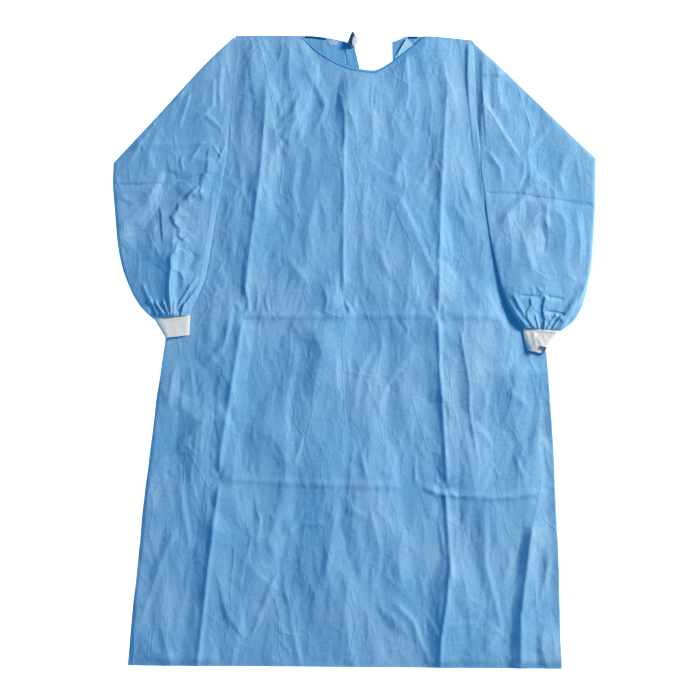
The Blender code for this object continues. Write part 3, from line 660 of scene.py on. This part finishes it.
def buildFront():
    x, y, u = frontPlan(frontPanel["columns"], frontPanel["rows"])
    height = addCreases(x, y, frontCreases)
    small = scatterCreases(frontPanel["seed"], frontPanel["smallCreases"], ((-400, -600), (380, 590)),
                           handling)
    height += addCreases(x, y, small)
    fine = scatterCreases(frontPanel["fineSeed"], frontPanel["fineCreases"], ((-420, -610), (400, 600)), fineHandling)
    patches = smooth(0.55 + 0.9 * softNoise(x, y, 90, 120, 14))
    height += addCreases(x, y, fine) * between(0.25, 1.0, patches)
    height += frontPanel["swell"] * softNoise(x, y, frontPanel["swellWide"], frontPanel["swellLong"], 5)
    height += crumple(x, y, frontFacets, 60)
    height = np.maximum((height + frontPanel["rise"]) * clearOfSleeves(x, y), -0.2)
    height += addCreases(x, y, besideSleeves)
    wide, long = frontPanel["width"], frontPanel["length"]
    edge = (smooth(u * wide / frontPanel["leftRun"]) * smooth((1 - u) * wide / frontPanel["rightRun"]))[None, :]
    fromHem = np.linspace(0, long, frontPanel["rows"])[:, None]
    height = height * between(0.40, 1.0, smooth(fromHem / frontPanel["hemRun"]))
    height = height * between(0.15, 1.0, smooth((long - fromHem) / frontPanel["neckRun"]))
    z = frontBase(x, y) * between(0.62, 1.0, edge) + height * between(between(0.35, 0.1, u), 1.0, edge) + 0.3
    edgeWobble = 0.7 * np.sin(y * 0.031 + 1.3) + 0.2 * np.sin(y * 0.083)
    x = x + edgeWobble * (1 - smooth(np.minimum(u, 1 - u) * 20))[None, :]
    piece = makePiece("front_cloth", x, y, z, nonwoven)
    fit(piece, "front_panel")
    print("front done")
    return x, y, z


frontX, frontY, frontZ = buildFront()

# Back panels: flat on the table, seen only inside the neck

backPanel = {"columns": 90, "rows": 240, "smallCreases": 90}


def backTopLeft(x):
    share = np.clip(1 + x / 100.0, 0, None)
    return neck["shoulderLeft"] - 18.0 * share**2


def backTopRight(x):
    shoulder = np.where(x < neck["lowX"] + neck["right"], neck["shoulderRight"], frontTop(x))
    return between(586.0, shoulder, smooth((x - 71.6) / 30.0))


def buildBack(side, seed):
    topLine = backTopLeft if side == "left" else backTopRight
    u = np.linspace(0, 1, backPanel["columns"])
    v = np.linspace(0, 1, backPanel["rows"])
    lowX = between(readOutline(outline, hem["left"], side), readOutline(backEdge, hem["left"], side), u)
    highX = between(readOutline(outline, 597.0, side), readOutline(backEdge, 597.0, side), u)
    y = between(hemLine(lowX)[None, :], topLine(highX)[None, :], v[:, None])
    x = between(readOutline(outline, y, side), readOutline(backEdge, y, side), u[None, :])
    box = ((x.min(), y.min()), (x.max(), y.max()))
    small = scatterCreases(seed, backPanel["smallCreases"], box,
                           {"length": (30, 110), "narrow": (3, 6), "wide": (6, 16), "height": (0.08, 0.3),
                            "lean": 20, "tilt": 0, "leanSpread": 20})
    z = 0.45 + np.clip(softened(addCreases(x, y, small)), -0.3, 0.35)
    piece = makePiece("back_" + side + "_cloth", x, y, z, darkerNonwoven)
    fit(piece, "back_panel_" + side)


buildBack("left", 21)
buildBack("right", 22)



def buildFacing():
    # the turned centre-back edge of the left back
    y = np.linspace(-601, facing["topY"], 200)[:, None]
    share = np.linspace(0, 1, 10)[None, :]
    edge = readOutline(backEdge, y, "left") - 0.3
    width = facing["width"] * between(1.0, 0.85, smooth((y - 530) / 40))
    x = edge - width * (1 - share)
    z = 1.5 + 0.25 * np.sin(y * 0.09) * (1 - share) + 0.35 * share**6
    piece = makePiece("back_facing_cloth", x, np.broadcast_to(y, x.shape), z, darkerNonwoven)
    fit(piece, "back_facing_left")


flap = {"point": (75.0, 552.0), "high": (99.8, 592.5), "lowX": 112.0, "clear": 1.6, "base": 1.6, "roll": 2.2}


def buildFlap():
    # the turned, rolled edge of the right back beside the neck
    share = np.linspace(0, 1, 60)[:, None]
    across = np.linspace(0, 1, 24)[None, :]
    lowX = between(flap["point"][0] + 1, flap["lowX"], share)
    lowY = frontTop(lowX) + flap["clear"]
    highX = between(flap["point"][0], flap["high"][0], share)
    highY = between(flap["point"][1], flap["high"][1], share)
    x, y = between(lowX, highX, across), between(lowY, highY, across)
    z = flap["base"] + flap["roll"] * across ** 1.2 * smooth(share * 1.6) + 0 * x
    # the flap's cloth is lighter than the gown's: painted highlight
    piece = makePiece("back_facing_right_cloth", x, y, z, turnedEdgePaintedHighlight)
    fit(piece, "back_facing_right")


buildFacing()
buildFlap()
print("backs done")

# Sleeves

leftSleeveCreases = readCreases(
    *ridge((44, 34, 3.4, 0.08, 0), (12, 7, 2.8, 0.08, 0), (-295, 315), (-299, 302), (-313, 293),
        (-316, 281), (-332, 274), (-335, 262), (-345, 253), (-339, 238), (-330, 230), (-332, 217),
        (-324, 207), (-335, 200), (-339, 186), (-348, 175), (-346, 156), (-350, 133), (-350, 110),
        (-347, 70)),
    (14, 42, 5.3, 0.25, 0, (-345, 243), (-343, 200), (-348, 156), (-350, 118), (-347, 70)),
    (16, 60, 3.7, 0.15, 0.2, (-271, 367), (-284, 327), (-295, 279)),
    (22, 5, 1.8, 0.15, 0.2, (-282, 338), (-290, 327), (-292, 304), (-287, 279)),
    *ridge((40, 18, -6.4, 0.1, 0.25), (4, 5, 1.7, 0.1, 0.25), (-351, 346), (-354, 327), (-362, 310),
        (-368, 291), (-373, 276), (-389, 251), (-404, 232), (-427, 225), (-447, 224)),
    (16, 5, 2.1, 0.2, 0.3, (-370, 276), (-366, 256), (-364, 228), (-361, 196)),
    (3, 14, -2, 0.03, 0.06, (-457, 314), (-408, 314), (-360, 317), (-318, 327), (-280, 334)),
    (14, 12, 1.8, 0.1, 0.1, (-453, 391), (-370, 388), (-261, 393)),
    (22, 5, 1.8, 0.2, 0.15, (-277, 388), (-278, 361), (-280, 332)),
    (7, 4, 1, 0.15, 0.1, (-269, 304), (-273, 256), (-280, 209), (-287, 162), (-295, 125), (-311, 91)),
    (6, 5, 2.1, 0.1, 0.2, (-295, 312), (-311, 296), (-326, 281)),
    (6, 5, 1.6, 0.15, 0.25, (-288, 304), (-303, 291), (-318, 277)),
    (5, 8, 0.9, 0.2, 0.3, (-394, 226), (-383, 203), (-367, 177)),
    (12, 20, 1.4, 0.3, 0.3, (-383, 207), (-387, 190), (-390, 167)),
    (8, 12, 1.6, 0.15, 0.3, (-449, 230), (-427, 243), (-402, 276)),
    (10, 8, 1.4, 0.15, 0.3, (-451, 293), (-417, 279), (-370, 304)),
    (12, 26, 2.1, 0.3, 0.05, (-389, 167), (-392, 142), (-385, 114), (-375, 84)),
    (9, 10, 2.3, 0.3, 0.3, (-330, 156), (-324, 133), (-326, 110)),
    (16, 18, -2.8, 0.3, 0.3, (-301, 194), (-307, 167), (-320, 141)),
    (10, 14, 1.6, 0.3, 0.3, (-280, 190), (-294, 167), (-313, 152)),
    (4, 9, 1.7, 0.1, 0.3, (-341, 245), (-328, 253), (-313, 256)),
    (4, 9, 1.8, 0.1, 0.3, (-326, 209), (-313, 217), (-299, 213)),
    (4, 9, 1.6, 0.1, 0.3, (-343, 184), (-330, 190), (-316, 184)),
    (9, 4, -1.4, 0.1, 0.3, (-335, 228), (-320, 230), (-309, 224)),
    (8, 5, 1.4, 0.1, 0.3, (-347, 156), (-332, 148), (-320, 131)),
    (6, 4.5, 3.9, 0.12, 0, (-282, 141), (-303, 110), (-326, 78)),
    (5, 4.5, 3, 0.15, 0, (-276, 129), (-292, 103), (-313, 74)),
    (5, 5, 3, 0.2, 0, (-294, 144), (-314, 116), (-333, 84), (-337, 68)),
    (4.5, 4.5, 3.9, 0.25, 0, (-379, 95), (-371, 82), (-360, 68)),
    (5, 5, 3.2, 0.3, 0, (-389, 103), (-381, 84), (-373, 68)),
    (4, 4, 3, 0.35, 0, (-364, 99), (-358, 84), (-352, 68)),
    (4, 4, 3.2, 0.35, 0, (-339, 99), (-341, 82), (-341, 66)),
    (4, 4, 3, 0.35, 0, (-320, 95), (-324, 80), (-328, 66)),
    (6, 8, 2.3, 0.3, 0.1, (-404, 131), (-394, 108), (-383, 84)),
    (6, 12, 2.3, 0.2, 0.3, (-311, 494), (-322, 456), (-335, 416)),
    (6, 14, 2.5, 0.15, 0.25, (-267, 522), (-269, 464), (-288, 446), (-311, 431)),
    (8, 10, 2.1, 0.2, 0.3, (-286, 450), (-267, 433), (-248, 416)),
    (5, 7, 2.1, 0.2, 0.3, (-329, 369), (-328, 353), (-324, 338)),
    (8, 12, 2.1, 0.3, 0.3, (-252, 551), (-257, 494), (-254, 456)),
    (14, 18, 2.1, 0.3, 0.3, (-370, 428), (-389, 380), (-392, 323)),
    (10, 16, 2.1, 0.2, 0.3, (-294, 551), (-320, 505), (-351, 460)),
    (7, 12, 1.7, 0.2, 0.3, (-389, 418), (-411, 384), (-430, 350)),
    (6, 9, 1.8, 0.2, 0.3, (-284, 399), (-301, 376), (-316, 350)),
    (6, 6, 1.8, 0.2, 0.3, (-246, 388), (-254, 369), (-263, 350)),
    (5, 6, 1.6, 0.2, 0.3, (-269, 390), (-257, 372), (-248, 361)),
)

rightSleeveCreases = readCreases(
    (2.6, 11, -1.5, 0.03, 0.03, (250, 298), (286, 298), (318, 296), (349, 290), (377, 287), (419, 280),
        (455, 276)),
    (22, 14, 3, 0.2, 0.25, (352, 346), (333, 310), (316, 285), (292, 258), (265, 232)),
    (20, 16, -3, 0.25, 0.3, (352, 243), (362, 209), (358, 175)),
    (8, 10, 2.1, 0.2, 0.3, (366, 281), (364, 256), (366, 224)),
    (16, 22, 2.5, 0.25, 0.3, (390, 274), (402, 224), (396, 167)),
    (12, 20, 2.5, 0.2, 0.3, (419, 274), (428, 209), (425, 148)),
    (16, 22, 2.3, 0.2, 0.3, (286, 276), (299, 209), (295, 142)),
    (14, 5, 1.6, 0.1, 0.3, (240, 559), (242, 513), (246, 452), (252, 380)),
    (14, 18, 2.1, 0.3, 0.3, (314, 232), (328, 186), (339, 133)),
    (16, 4, 3.2, 0.08, 0, (333, 101), (335, 84), (326, 72), (329, 57), (337, 46)),
    (18, 5, 4.1, 0.08, 0, (362, 103), (358, 86), (357, 74), (361, 59), (359, 42)),
    (3, 8, -1.8, 0.15, 0.1, (314, 104), (335, 102), (353, 101)),
    (3, 8, -2.1, 0.1, 0.2, (364, 101), (381, 100), (400, 95)),
    (3, 8, -2.1, 0.1, 0.2, (362, 74), (381, 72), (402, 67)),
    (4, 4, 3.2, 0.15, 0, (385, 70), (373, 55), (366, 42)),
    (4, 4, 3, 0.15, 0, (394, 65), (383, 53), (375, 40)),
    (4, 4, 2.8, 0.3, 0, (341, 72), (345, 57), (349, 42)),
    (9, 16, 3.9, 0.2, 0, (444, 139), (428, 101), (406, 66), (390, 40)),
    (6, 8, 2.5, 0.3, 0.1, (425, 104), (409, 80), (390, 53)),
    (9, 6, 2.8, 0.2, 0, (284, 99), (301, 72), (324, 48)),
    (8, 7, 2.5, 0.2, 0.1, (299, 110), (311, 84), (328, 55)),
    (5, 7, 1.8, 0.3, 0.2, (335, 124), (339, 110), (337, 101)),
    (6, 5, 1.6, 0.3, 0.3, (343, 122), (354, 110), (370, 116)),
    (8, 6, 2.1, 0.3, 0.3, (240, 521), (263, 524), (286, 522)),
    (7, 18, 1.7, 0.12, 0.15, (246, 469), (276, 422), (313, 363)),
    (8, 14, 1.8, 0.2, 0.2, (373, 433), (351, 399), (313, 365)),
    (14, 20, 2.3, 0.25, 0.3, (276, 551), (271, 494), (284, 437)),
    (12, 18, 1.3, 0.3, 0.3, (314, 475), (333, 428), (330, 380)),
    (12, 16, 2.1, 0.3, 0.3, (400, 380), (390, 323), (402, 285)),
    (8, 12, 2.1, 0.2, 0.3, (250, 380), (276, 346), (282, 308)),
    (5, 12, 1.3, 0.2, 0.3, (324, 361), (320, 332), (309, 304)),
    (5, 8, 1, 0.2, 0.3, (333, 361), (335, 332), (330, 308)),
)

sleeve = {"around": 190, "along": 300, "lower": 40, "smallCreases": 80,
          "rollOuter": 0.05, "swell": 1.7, "swellSize": 42}
sleeveFacets = ((46, 90, 2.4), (22, 44, 1.2), (12, 22, 0.5))
# how full the sleeve lies, from the armhole (0) to the cuff (13), and how high its side edges stand
sleeveFull = {"at": (0, 4, 7, 9, 13), "crown": (0.16, 0.30, 0.52, 0.62, 0.62)}
sleeveHandling = {"length": (18, 80), "narrow": (2.5, 4.5), "wide": (4, 16), "height": (0.3, 1.1),
                  "lean": 20, "leanSpread": 24}
sleeveLook = {
    "left": {"creases": leftSleeveCreases, "tilt": 12, "seed": 35, "calm": 0.62, "roll": 0.20,
             "sideBend": (0.5, 0.7, 1.2, 2.3, 2.6)},
    "right": {"creases": rightSleeveCreases, "tilt": -8, "seed": 32, "calm": 0.85, "roll": 0.09,
              "sideBend": (0.5, 2.0, 3.0, 2.8, 2.6)},
}


def bulge(share):
    return np.sqrt(np.clip(1 - np.abs(2 * share - 1) ** 8, 0, 1))


def rolled(share, roll):
    # section of the upper side: a short roll at the outer edge, a longer one at the inner edge
    outer = np.clip(1 - share / sleeve["rollOuter"], 0, 1)
    inner = np.clip(1 - (1 - share) / roll, 0, 1)
    return np.sqrt(np.clip((1 - outer**2.2) * (1 - inner**2.2), 0, 1))


def buildSleeve(side):
    look = sleeveLook[side]
    sections = sleeveSections[side]
    at = np.arange(len(sections))
    t = np.linspace(0, len(sections) - 1, sleeve["along"])
    columns = {}
    for name in Section._fields:
        corner = shoulderCorner if name.startswith("outer") else None
        columns[name] = curveThrough(at, [getattr(s, name) for s in sections], t, corner)[:, None]
    share = np.linspace(0, 1, sleeve["around"])[None, :]
    eased = share - 0.045 * np.sin(4 * math.pi * share)
    x = between(columns["outerX"], columns["innerX"], eased)
    y = between(columns["outerY"], columns["innerY"], eased)
    height = addCreases(x, y, look["creases"])
    box = ((x.min(), y.min()), (x.max(), y.max()))
    small = scatterCreases(look["seed"], sleeve["smallCreases"], box, {**sleeveHandling, "tilt": look["tilt"]})
    size = sleeve["swellSize"]
    random = addCreases(x, y, small) + crumple(x, y, sleeveFacets, look["seed"] + 5)
    random += sleeve["swell"] * softNoise(x, y, size, size * 1.7, look["seed"])
    height += look["calm"] * random
    floor = sleeveFloor(side, x, y)
    sideBend = np.interp(t, sleeveFull["at"], look["sideBend"])[:, None]
    full = np.interp(t, sleeveFull["at"], sleeveFull["crown"])[:, None]
    section = rolled(eased, look["roll"])
    crown = (columns["loft"] * full - sideBend) * section
    raised = sideBend + crown + height * section ** 1.5
    sewnDown = smooth(t / 0.55)[:, None]                # the armhole's seam lies close to the body
    z = floor + 0.5 + np.maximum(raised - 0.5, sideBend * 0.4) * sewnDown
    lowShare = np.linspace(1, 0, sleeve["lower"] + 1)[None, 1:-1]
    lowX = between(columns["outerX"], columns["innerX"], lowShare)
    lowY = between(columns["outerY"], columns["innerY"], lowShare)
    lowFloor = sleeveFloor(side, lowX, lowY)
    lowZ = lowFloor + 0.2 + (sideBend - 0.2) * (1 - bulge(lowShare)) * sewnDown
    x, y, z = (np.concatenate(pair, axis=1) for pair in ((x, lowX), (y, lowY), (z, lowZ)))
    piece = makePiece("sleeve_" + side + "_cloth", x, y, z, nonwoven, wrap=True)
    fit(piece, "sleeve_" + side)


buildSleeve("left")
buildSleeve("right")
print("sleeves done")

# Cuffs

cuffSections = {
    "left": readTable(
        Section,
        (-381.0, 60.0, -311.6, 68.0, 10.0),
        (-375.2, 49.5, -311.9, 57.7, 10.0),
        (-369.0, 39.5, -312.6, 48.0, 10.0),
        (-359.1, 22.6, -313.9, 28.3, 10.0),
    ),
    "right": readTable(
        Section,
        (392.0, 36.0, 319.4, 42.4, 10.5),
        (381.0, 24.5, 320.8, 31.5, 10.5),
        (371.0, 11.0, 323.0, 19.0, 11.0),
        (360.0, -7.5, 328.7, -1.0, 12.5),
    ),
}
cuff = {"around": 150, "along": 90, "wall": 1.6, "tilt": {"left": 4.5, "right": 10.0}, "lining": 3.2,
        "pushed": {"left": 0.0, "right": 0.21}}

leftCuffCreases = readCreases(
    (10, 9, 0.5, 0.1, 0.1, (-370, 63), (-358, 48), (-354, 27)),
    (10, 9, 0.35, 0.1, 0.1, (-339, 63), (-341, 46), (-335, 27)),
    (2.5, 2.5, 0.7, 0, 0, (-381, 61), (-351, 57), (-314, 62)),
)

rightCuffCreases = readCreases(
    (8, 7, 1.2, 0.15, 0.15, (330, 2), (345, 15), (366, 25)),
    (7, 9, 1.1, 0.15, 0.1, (337, 32), (351, 17), (358, 0)),
    (6, 9, 1, 0.2, 0.2, (341, 38), (339, 23), (345, 4)),
    (7, 6, 0.8, 0.2, 0.1, (322, 40), (330, 23), (333, 4)),
    (2.5, 2.5, 0.7, 0, 0, (322, 44), (352, 36), (387, 32)),
)

cuffCreases = {"left": leftCuffCreases, "right": rightCuffCreases}


def buildCuff(side):
    sections = cuffSections[side]
    t = np.linspace(0, len(sections) - 1, cuff["along"])
    skins = []
    for inset, wall in ((0.0, 0.0), (2.2, cuff["wall"])):
        upper = np.linspace(0, 1, cuff["around"])[None, :]
        lower = np.linspace(1, 0, cuff["around"])[None, 1:-1]
        parts = []
        for share, top in ((upper, True), (lower, False)):
            pushed = cuff["pushed"][side] * smooth(share / 0.07) * (1 - smooth((share - 0.40) / 0.08)) * top
            along = t[:, None] * (1 - pushed)
            columns = {name: curveThrough(np.arange(len(sections)), [getattr(s, name) for s in sections], along)
                       for name in Section._fields}
            width = np.hypot(columns["outerX"] - columns["innerX"], columns["outerY"] - columns["innerY"])
            pulled = between(inset / width, 1 - inset / width, share)
            x = between(columns["outerX"], columns["innerX"], pulled)
            y = between(columns["outerY"], columns["innerY"], pulled)
            if top:
                fold = addCreases(x, y, cuffCreases[side]) + 0.35 * softNoise(x, y, 12, 16, 41)
                tilt = cuff["tilt"][side] * (0.5 - share)
                z = 2 * layer + 1.6 + (columns["loft"] - 4.8 - wall + fold + tilt) * bulge(share)
            else:
                z = 2 * layer + 1.6 - (1.6 - wall * 0.6 - 0.2) * bulge(share) + 0 * x
                if wall and cuff["pushed"][side]:
                    z = z + cuff["lining"] * smooth((t[:, None] - 1.8) / 0.7) * bulge(share)
            parts.append((x, y, z))
        skins.append([np.concatenate(pair, axis=1) for pair in zip(*parts)])
    outer, inner = skins
    x, y, z = (np.concatenate((a, b[::-1]), axis=0) for a, b in zip(outer, inner))
    piece = makePiece("cuff_" + side + "_knit", x, y, z, cuffKnit, wrap=True)
    fit(piece, "cuff_" + side)


buildCuff("left")
buildCuff("right")
print("cuffs done")

# Neck: binding, strap, patches

neckTrim = {"width": 5.2, "crown": 0.9, "steps": 13}


def bandAlong(name, x, y, z, width, material, node):
    # a slightly crowned tape on the inner side of an edge line
    tangent = np.stack((np.gradient(x), np.gradient(y)), axis=-1)
    tangent /= np.linalg.norm(tangent, axis=1)[:, None]
    inward = np.stack((tangent[:, 1], -tangent[:, 0]), axis=-1)
    across = np.linspace(0, 1, neckTrim["steps"])[None, :]
    bandX = x[:, None] + inward[:, :1] * width * across
    bandY = y[:, None] + inward[:, 1:] * width * across
    crown = neckTrim["crown"] * np.sin(math.pi * across**1.8)
    bandZ = z[:, None] + 0.35 + crown
    piece = makePiece(name, bandX, bandY, np.broadcast_to(bandZ, bandX.shape), material)
    fit(piece, node)


edgeX = np.linspace(neck["lowX"] - neck["left"] + 2, neck["lowX"] + neck["right"] - 0.5, 160)
edgeZ = np.interp(edgeX, frontX[-1], frontZ[-1])
bandAlong("neck_binding_front_tape", edgeX, frontTop(edgeX) + 0.3, edgeZ, neckTrim["width"], bindingTape,
          "neck_binding_front")
edgeX = np.linspace(-92, -53.5, 40)
bandAlong("neck_binding_left_tape", edgeX, backTopLeft(edgeX), np.full(40, 0.9), 4.5, navyTape,
          "neck_binding_left")
edgeX = np.linspace(103.5, 119, 30)
bandAlong("neck_binding_right_tape", edgeX, backTopRight(edgeX), np.full(30, 0.9), 4.5, navyTape,
          "neck_binding_right")


strap = {"foot": (-8.5, 575.5), "head": (0.0, 605.0), "right": 11.5, "left": 6.0, "height": 8.5,
         "skew": 1.6, "short": 0.72}


def strapPlaces(a, b, offset):
    # a: share along the strap, b: share across it from its right edge; an arch with its crest near the left
    foot, head = np.array(strap["foot"]), np.array(strap["head"])
    alongStrap = (head - foot) / np.linalg.norm(head - foot)
    beside = np.array((alongStrap[1], -alongStrap[0]))
    a = a * between(strap["short"], 1.0, b)
    arch = 2 * b ** strap["skew"] - 1
    outward = between(strap["right"], -strap["left"], b)
    slope = -4 * strap["height"] * arch * strap["skew"] * np.maximum(b, 0.02) ** (strap["skew"] - 1)
    level = strap["right"] + strap["left"]
    length = np.hypot(slope, level)
    outward = outward + offset * slope / length
    x = foot[0] + (head[0] - foot[0]) * a + beside[0] * outward
    y = foot[1] + (head[1] - foot[1]) * a + beside[1] * outward
    z = 2 * layer + strap["height"] * (1 - arch**2) + offset * level / length + 0 * a
    return x, y, z


def buildStrap():
    a = np.linspace(0, 1, 40)[:, None]
    b = between(0.16 + 0.55 * a**4, 1 - 0.25 * a**6, np.linspace(0, 1, 30)[None, :])
    piece = makePiece("neck_strap_cloth", *strapPlaces(a, b, 0.5), navyTape)
    fit(piece, "neck_tab")


patch = {"x": -41.0, "y": 583.8, "halfWidth": 8.8, "halfHeight": 5.4, "slope": 0.12, "base": 1.3, "thick": 0.35}


def buildPatches():
    # rounded patches: the hooks on the curled strap, and the loops on the left back
    radius = np.linspace(0.02, 1, 9)[:, None]
    turn = np.linspace(0, 2 * math.pi, 41)[None, :-1]
    places = strapPlaces(0.50 + 0.40 * radius * np.sin(turn), 0.36 + 0.27 * radius * np.cos(turn), 1.6)
    hooks = makePiece("hook_patch_nylon", *places, hookNylon, wrap=True)
    fit(hooks, "hook_patch")
    wobble = 1 + 0.10 * np.sin(2 * turn + 0.6) + 0.07 * np.sin(5 * turn)
    x = patch["x"] + patch["halfWidth"] * radius * wobble * np.cos(turn)
    y = patch["y"] + patch["halfHeight"] * radius * wobble * np.sin(turn) - patch["slope"] * (x - patch["x"])
    z = patch["base"] + patch["thick"] * np.sqrt(np.clip(1 - radius**6, 0, 1)) + 0 * turn
    loops = makePiece("loop_patch_felt", x, y, z, loopFelt, wrap=True)
    fit(loops, "loop_patch")


buildStrap()
buildPatches()
print("neck done")

# What each cloth was cut to, in metres and square metres, and what is sewn on it

ClothFact = namedtuple("ClothFact", "piece width length area restsOn sewnOn")
clothFacts = readTable(
    ClothFact,
    ("front_cloth", 0.83, 1.21, 0.87, "back_left_cloth", ("neck_binding_front_tape",)),
    ("back_left_cloth", 0.46, 1.20, 0.46, "floor", ("neck_binding_left_tape", "loop_patch_felt")),
    ("back_right_cloth", 0.42, 1.20, 0.42, "floor", ("neck_binding_right_tape",)),
    ("back_facing_cloth", 0.021, 1.18, None, "back_left_cloth", ()),
    ("back_facing_right_cloth", 0.021, 0.048, 0.00043, "back_right_cloth", ()),
    ("sleeve_left_cloth", 0.46, 0.66, 0.205, "front_cloth", ()),
    ("sleeve_right_cloth", 0.46, 0.66, 0.205, "front_cloth", ()),
    ("cuff_left_knit", 0.13, 0.09, None, "front_cloth", ()),
    ("cuff_right_knit", 0.13, 0.09, None, "front_cloth", ()),
    ("neck_strap_cloth", 0.019, 0.031, None, "back_left_cloth", ("hook_patch_nylon",)),
)

# Floor, light and camera

studio = {
    "floorHalf": 40.0, "floorColour": "#FAFAFA", "lens": 100, "frameWidth": 1.33,
    "centre": (-0.00855, 0.0), "sensor": 36, "farClip": 100,
    "keyPlace": (3.6, 1.6, 2.05), "keySize": (1.15, 0.95), "keyPower": 324, "keyColour": (1.0, 0.87, 0.65),
    "fillPlace": (-2.4, -0.8, 3.0), "fillSize": (2.5, 2.5), "fillPower": 8,
    "sky": 0.42, "skyColour": (0.05, 0.565, 1.02),
}


def buildFloor():
    half = studio["floorHalf"]
    mesh = bpy.data.meshes.new("floor")
    mesh.from_pydata([(-half, -half, -0.0004), (half, -half, -0.0004), (half, half, -0.0004),
                      (-half, half, -0.0004)], [], [(0, 1, 2, 3)])
    floor = bpy.data.objects.new("floor", mesh)
    bpy.context.scene.collection.objects.link(floor)
    material, _, shader = startMaterial("matt_white_table")
    shader.inputs["Base Color"].default_value = toLinear(studio["floorColour"])
    shader.inputs["Roughness"].default_value = 0.9
    shader.inputs["Emission Color"].default_value = (1, 1, 1, 1)
    shader.inputs["Emission Strength"].default_value = 1.2
    mesh.materials.append(material)


def addLamp(name, place, size, power, colour=(1, 1, 1)):
    # a rectangular lamp aimed at the middle of the gown
    lamp = bpy.data.lights.new(name, "AREA")
    lamp.shape = "RECTANGLE"
    lamp.size, lamp.size_y = size
    lamp.energy = power
    lamp.color = colour
    holder = bpy.data.objects.new(name, lamp)
    holder.location = place
    holder.rotation_euler = (-Vector(place)).to_track_quat("-Z", "Y").to_euler()
    bpy.context.scene.collection.objects.link(holder)


buildFloor()
addLamp("key", studio["keyPlace"], studio["keySize"], studio["keyPower"], studio["keyColour"])
addLamp("fill", studio["fillPlace"], studio["fillSize"], studio["fillPower"])
world = bpy.data.worlds.new("soft_white_studio")
world.use_nodes = True
world.node_tree.nodes["Background"].inputs[0].default_value = (*studio["skyColour"], 1)
world.node_tree.nodes["Background"].inputs[1].default_value = studio["sky"]
bpy.context.scene.world = world
bpy.context.scene.view_settings.view_transform = "Standard"

lens = bpy.data.cameras.new("camera")
lens.lens = studio["lens"]
lens.sensor_width = studio["sensor"]
lens.clip_end = studio["farClip"]
camera = bpy.data.objects.new("camera", lens)
camera.location = (*studio["centre"], studio["frameWidth"] * studio["lens"] / studio["sensor"])
bpy.context.scene.collection.objects.link(camera)
bpy.context.scene.camera = camera
print("studio done")
